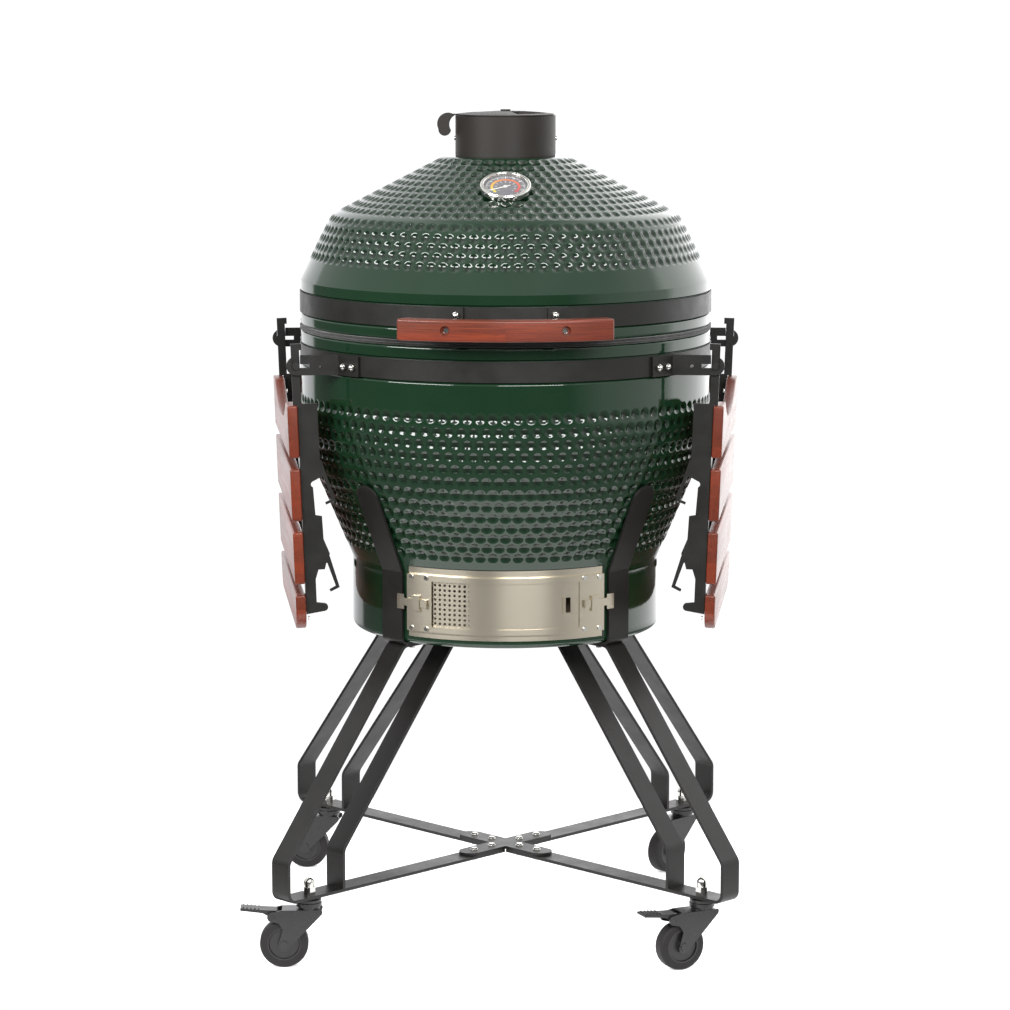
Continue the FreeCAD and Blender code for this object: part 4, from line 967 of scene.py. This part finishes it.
# %% Rubber and plastic
def wheel_rubber(tree):
    """Grey-black moulded rubber: matt, dust in patches of 17 mm, a moulded grain of 0.8 mm."""
    place = add(tree, "TexCoord").outputs["Object"]
    dust = add(tree, "TexNoise", inputs={"Vector": place, "Scale": 60.0, "Detail": 5.0})
    grain = add(tree, "TexNoise", inputs={"Vector": place, "Scale": 1200.0, "Detail": 2.0})
    colour = add(tree, "MixRGB", inputs={
        0: dust.outputs["Fac"], 1: tint("#0F0E0D"), 2: tint("#1C1A19")})
    bump = add(tree, "Bump", inputs={
        "Strength": 0.3, "Distance": 0.0003, "Height": grain.outputs["Fac"]})
    return add(tree, "BsdfPrincipled", inputs={
        "Base Color": colour.outputs[0], "Roughness": 0.62, "Specular IOR Level": 0.3,
        "Normal": bump.outputs[0]})


def moulded_plastic(tree):
    """Black polypropylene hub and pedal: waxy sheen, flow marks 22 mm across from the mould."""
    place = add(tree, "TexCoord").outputs["Object"]
    flow = add(tree, "TexNoise", inputs={
        "Vector": place, "Scale": 45.0, "Detail": 4.0, "Distortion": 1.5})
    colour = add(tree, "MixRGB", inputs={
        0: flow.outputs["Fac"], 1: tint("#0F0F0E"), 2: tint("#191817")})
    gloss = add(tree, "MapRange", inputs={
        "Value": flow.outputs["Fac"], "To Min": 0.3, "To Max": 0.46})
    soft_edge = add(tree, "Bevel", {"samples": 4}, {"Radius": 0.0008})
    return add(tree, "BsdfPrincipled", inputs={
        "Base Color": colour.outputs[0], "Roughness": gloss.outputs[0], "IOR": 1.49,
        "Normal": soft_edge.outputs[0]})


SLOT_FINISH["tyre_rubber"] = finish("tyre rubber, moulded", wheel_rubber)
SLOT_FINISH["black_plastic"] = finish("polypropylene, moulded", moulded_plastic)

# %% [markdown]
# The thermometer has a flat crystal and a white pointer under it. A crystal with both its faces
# could be real glass that bends the light, but a thin clear sheet with a reflection on it lets the
# dial through with less noise.

# %% Crystal and pointer
def gauge_glass(tree):
    """Flat crystal: clear to look through, with the reflection of glass at a slant."""
    facing = add(tree, "LayerWeight", inputs={"Blend": 0.5}).outputs["Facing"]
    slant = add(tree, "Math", {"operation": "POWER"}, {0: facing, 1: 3.0})
    grazing = add(tree, "MapRange", inputs={
        "Value": slant.outputs[0], "To Min": 0.03, "To Max": 0.8})
    clear = add(tree, "BsdfTransparent", inputs={"Color": (0.96, 0.97, 0.97, 1)})
    mirror = add(tree, "BsdfGlossy", inputs={"Roughness": 0.03})
    return add(tree, "MixShader", inputs={
        0: grazing.outputs[0], 1: clear.outputs[0], 2: mirror.outputs[0]})


def needle_lacquer(tree):
    """White lacquer on the pointer, a little chalky: grains of 1.2 mm."""
    place = add(tree, "TexCoord").outputs["Object"]
    chalk = add(tree, "TexNoise", inputs={"Vector": place, "Scale": 800.0, "Detail": 2.0})
    colour = add(tree, "MixRGB", inputs={
        0: chalk.outputs["Fac"], 1: tint("#DDD9D2"), 2: tint("#F2EFE9")})
    return add(tree, "BsdfPrincipled", inputs={"Base Color": colour.outputs[0], "Roughness": 0.45})


SLOT_FINISH["lens_glass"] = finish("gauge crystal, polished", gauge_glass)
SLOT_FINISH["needle_white"] = finish("white needle lacquer", needle_lacquer)

# %% [markdown]
# The parts of the model keep their own shape and take a finish by slot. Their meshes are loose
# triangles, so a Weld joins them and an Edge Split keeps real corners crisp while round faces shade
# as round.

# %% Dress the parts of the model
WELD_DISTANCE = 2e-6                  # metres
CORNER_ANGLE = math.radians(32)

slot_of = {part["node"]: part["material_slot"] for part in frame["record"]["subparts"]}
dressed = 0
for name, part in NODES.items():
    if part.hide_render or slot_of[name] not in SLOT_FINISH:
        continue
    material = SLOT_FINISH[slot_of[name]]
    # the chimney is painted for the heat, and the stems of the casters with their forks
    if name.startswith("chimney"):
        material = HEAT_BLACK
    if name == "caster_stems":
        material = SLOT_FINISH["caster_steel"]
    part.data.materials.clear()
    part.data.materials.append(material)
    part.data.shade_smooth()
    part.modifiers.new("weld", "WELD").merge_threshold = WELD_DISTANCE
    part.modifiers.new("corners", "EDGE_SPLIT").split_angle = CORNER_ANGLE
    dressed += 1
print("parts dressed:", dressed)

# %% [markdown]
# ## Details that the model leaves plain
#
# The lid's springs are wound wire. A ribbed tube would do from afar, but a real coil costs little:
# it is a circle carried along a helix.

# %% Lid springs
SPRING_COILS, SPRING_RADIUS, WIRE_RADIUS = 4.0, 8.9, 2.05     # mm
SPRING_ENDS = ((-21, -2), (2, 21))


def coil(x_start, x_end, centre_y, centre_z):
    """Tube about a helix along X: each section is a circle in the plane square to the helix."""
    t = np.linspace(0, 2 * np.pi * SPRING_COILS, int(36 * SPRING_COILS) + 1)
    x = np.linspace(x_start + WIRE_RADIUS, x_end - WIRE_RADIUS, len(t))
    outward = np.stack([0 * t, np.cos(t), np.sin(t)], axis=-1)
    spine = SPRING_RADIUS * outward + np.stack([x, centre_y + 0 * t, centre_z + 0 * t], axis=-1)
    tangent = np.gradient(spine, axis=0)
    tangent /= np.linalg.norm(tangent, axis=1)[:, None]
    across = np.cross(tangent, outward)
    angle = full_circle(12)[None, :, None]
    circle = np.cos(angle) * outward[:, None] + np.sin(angle) * across[:, None]
    tube = spine[:, None] + WIRE_RADIUS * circle
    ends = [np.repeat(spine[i][None, None], 12, axis=1) for i in (0, -1)]
    return np.concatenate([ends[0], tube, ends[1]]) * MM


spring_low, spring_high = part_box("hinge_springs")
pin_y = (spring_low[1] + spring_high[1]) / 2 / MM
pin_z = (spring_low[2] + spring_high[2]) / 2 / MM
springs = sew("lid_springs", [(coil(*ends, pin_y, pin_z), True) for ends in SPRING_ENDS],
              SLOT_FINISH["chrome_steel"])
# the tube's ends may close inside out, so its normals are worked out again after the merge
recalculated = bmesh.new()
recalculated.from_mesh(springs.data)
bmesh.ops.recalc_face_normals(recalculated, faces=recalculated.faces)
recalculated.to_mesh(springs.data)
recalculated.free()
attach(springs, "base")
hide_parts("hinge_springs")

# %% [markdown]
# The thermometer's face is printed tinplate: a grey dial, a coloured band from yellow through
# orange to red, and white ticks. The disc stores its polar coordinates, so each ring of the print
# is a range of radius and each tick is a fraction of a turn.

# %% Gauge face
GAUGE_TILT = math.atan2(92.0, 179.0)     # the lid's slope: mm down for mm out
GAUGE_MIDDLE = np.array([0.0, -182.0, 1246.0 - 84.0 * math.tan(GAUGE_TILT)])
DIAL_RADIUS = 33.3                       # mm
SCALE_START, SCALE_END = 0.12, 0.88      # share of a turn, from the bottom
LONG_STEPS, SHORT_STEPS = 10.0, 50.0


def printed_dial(tree):
    """Screen print: 'dial' holds radius / DIAL_RADIUS and the share of a turn from the bottom."""
    dial = add(tree, "Attribute", {"attribute_name": "dial"})
    polar = add(tree, "SeparateXYZ", inputs={0: dial.outputs["Vector"]})
    radius, share = polar.outputs["X"], polar.outputs["Y"]
    scale_share = add(tree, "MapRange", inputs={
        "Value": share, "From Min": SCALE_START, "From Max": SCALE_END})
    heat = add(tree, "ValToRGB", inputs={"Fac": scale_share.outputs[0]})
    tones = heat.color_ramp.elements
    tones[0].position, tones[0].color = 0.0, tint("#E8D21E")
    tones[1].position, tones[1].color = 1.0, tint("#C8102E")
    tones.new(0.45).color = tint("#E8792B")

    def both(one, other):
        """1 where both are 1: their product."""
        return add(tree, "Math", {"operation": "MULTIPLY"}, {0: one, 1: other}).outputs[0]

    def within(value, low, high):
        """1 where the value lies between two limits."""
        above = add(tree, "Math", {"operation": "GREATER_THAN"}, {0: value, 1: low})
        below = add(tree, "Math", {"operation": "LESS_THAN"}, {0: value, 1: high})
        return both(above.outputs[0], below.outputs[0])

    def from_tick(steps):
        """How far a place is from the nearest tick, in steps of the scale."""
        counted = add(tree, "Math", {"operation": "MULTIPLY"}, {
            0: scale_share.outputs[0], 1: steps})
        return add(tree, "Math", {"operation": "PINGPONG"}, {
            0: counted.outputs[0], 1: 0.5}).outputs[0]

    on_scale = within(share, SCALE_START, SCALE_END)
    band = both(within(radius, 0.58, 0.70), on_scale)
    long_tick, short_tick = from_tick(LONG_STEPS), from_tick(SHORT_STEPS)
    long_mark = both(within(long_tick, -1, 0.045), within(radius, 0.74, 0.93))
    short_mark = both(within(short_tick, -1, 0.13), within(radius, 0.84, 0.93))
    inner_mark = both(within(long_tick, -1, 0.07), within(radius, 0.40, 0.52))
    outer_marks = add(tree, "Math", {"operation": "MAXIMUM"}, {0: long_mark, 1: short_mark})
    all_marks = add(tree, "Math", {"operation": "MAXIMUM"}, {
        0: outer_marks.outputs[0], 1: inner_mark})
    marks = both(all_marks.outputs[0], on_scale)
    # the ink is mottled at 1.7 mm
    mottle = add(tree, "TexNoise", inputs={
        "Vector": add(tree, "TexCoord").outputs["Object"], "Scale": 600.0})
    ground = add(tree, "MixRGB", inputs={
        0: mottle.outputs["Fac"], 1: tint("#5E5A60"), 2: tint("#716C72")})
    banded = add(tree, "MixRGB", inputs={0: band, 1: ground.outputs[0], 2: heat.outputs[0]})
    colour = add(tree, "MixRGB", inputs={0: marks, 1: banded.outputs[0], 2: tint("#F2F0EC")})
    return add(tree, "BsdfPrincipled", inputs={"Base Color": colour.outputs[0], "Roughness": 0.4})


def on_gauge(points):
    """From the gauge's own axes, standing on the lid, to the frame: tilt about X, then move."""
    c, s = math.cos(GAUGE_TILT), math.sin(GAUGE_TILT)
    return (points @ np.array([[1, 0, 0], [0, c, -s], [0, s, c]]).T + GAUGE_MIDDLE) * MM


# the disc's rings (radius, height) in mm: its folded edge, then flat to the middle
dial_profile = np.column_stack([[33.2, 33.2, 25.0, 15.0, 5.0, 0.0], [3.3] + 5 * [4.4]])
dial_turns = np.linspace(0, 2 * np.pi, 121)
dial_grid = turned(dial_profile, dial_turns) / MM
rings, spokes = dial_grid.shape[:2]
dial_polar = np.zeros((rings, spokes, 3))
dial_polar[..., 0] = dial_profile[:, :1] / DIAL_RADIUS
dial_polar[..., 1] = 1 - dial_turns / (2 * np.pi)
dial_mesh = bpy.data.meshes.new("gauge_face")
dial_mesh.from_pydata(on_gauge(dial_grid.reshape(-1, 3)), [],
                      sheet_faces(rings, spokes, False, 0).reshape(-1, 4))
dial_mesh.attributes.new("dial", "FLOAT_VECTOR", "POINT").data.foreach_set(
    "vector", dial_polar.astype(np.float32).ravel())
dial_mesh.materials.append(finish("printed tinplate dial", printed_dial))
gauge_face = bpy.data.objects.new("gauge_face", dial_mesh)
bpy.context.scene.collection.objects.link(gauge_face)
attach(gauge_face, "lid")
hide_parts("gauge_dial")
print("piece: gauge_face -", len(dial_mesh.polygons), "faces")

# %% [markdown]
# The case is spun from chromed sheet: an outer ring and an inner ring with a groove between them,
# which reads as a thin dark line.

# %% Gauge bezel
bezel_section = joined(
    run((4, -26.4), (6, -26.4), (6, 0.6), (39.5, 0.6), (39.5, 7.0), step=12),
    arc((39.5, 7.0), (38.9, 8.9), (37.4, 9.55), step=0.5),
    run((37.4, 9.55), (36.7, 9.4), (36.4, 8.2), (35.8, 8.2), (35.6, 9.0), step=1),
    arc((35.6, 9.0), (34.9, 9.5), (34.1, 9.0), step=0.4),
    run((34.1, 9.0), (33.5, 8.0), (33.5, 3.1), step=3),
    run((33.5, 3.1), (0, 3.1), step=40))
bezel_grid = on_gauge(turned(bezel_section, full_circle(160)) / MM)
bezel = sew("gauge_bezel", [(bezel_grid, True)], SLOT_FINISH["chrome_steel"], smooth_angle=35)
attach(bezel, "lid")
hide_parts("gauge_case")

# %% [markdown]
# ## Close
#
# The box of the model, measured before it is dressed, is printed at the end: dressing it must
# not change how large it is.

# %% Sizes and finish
print("model box:", np.round(cad_bounds, 4).tolist())
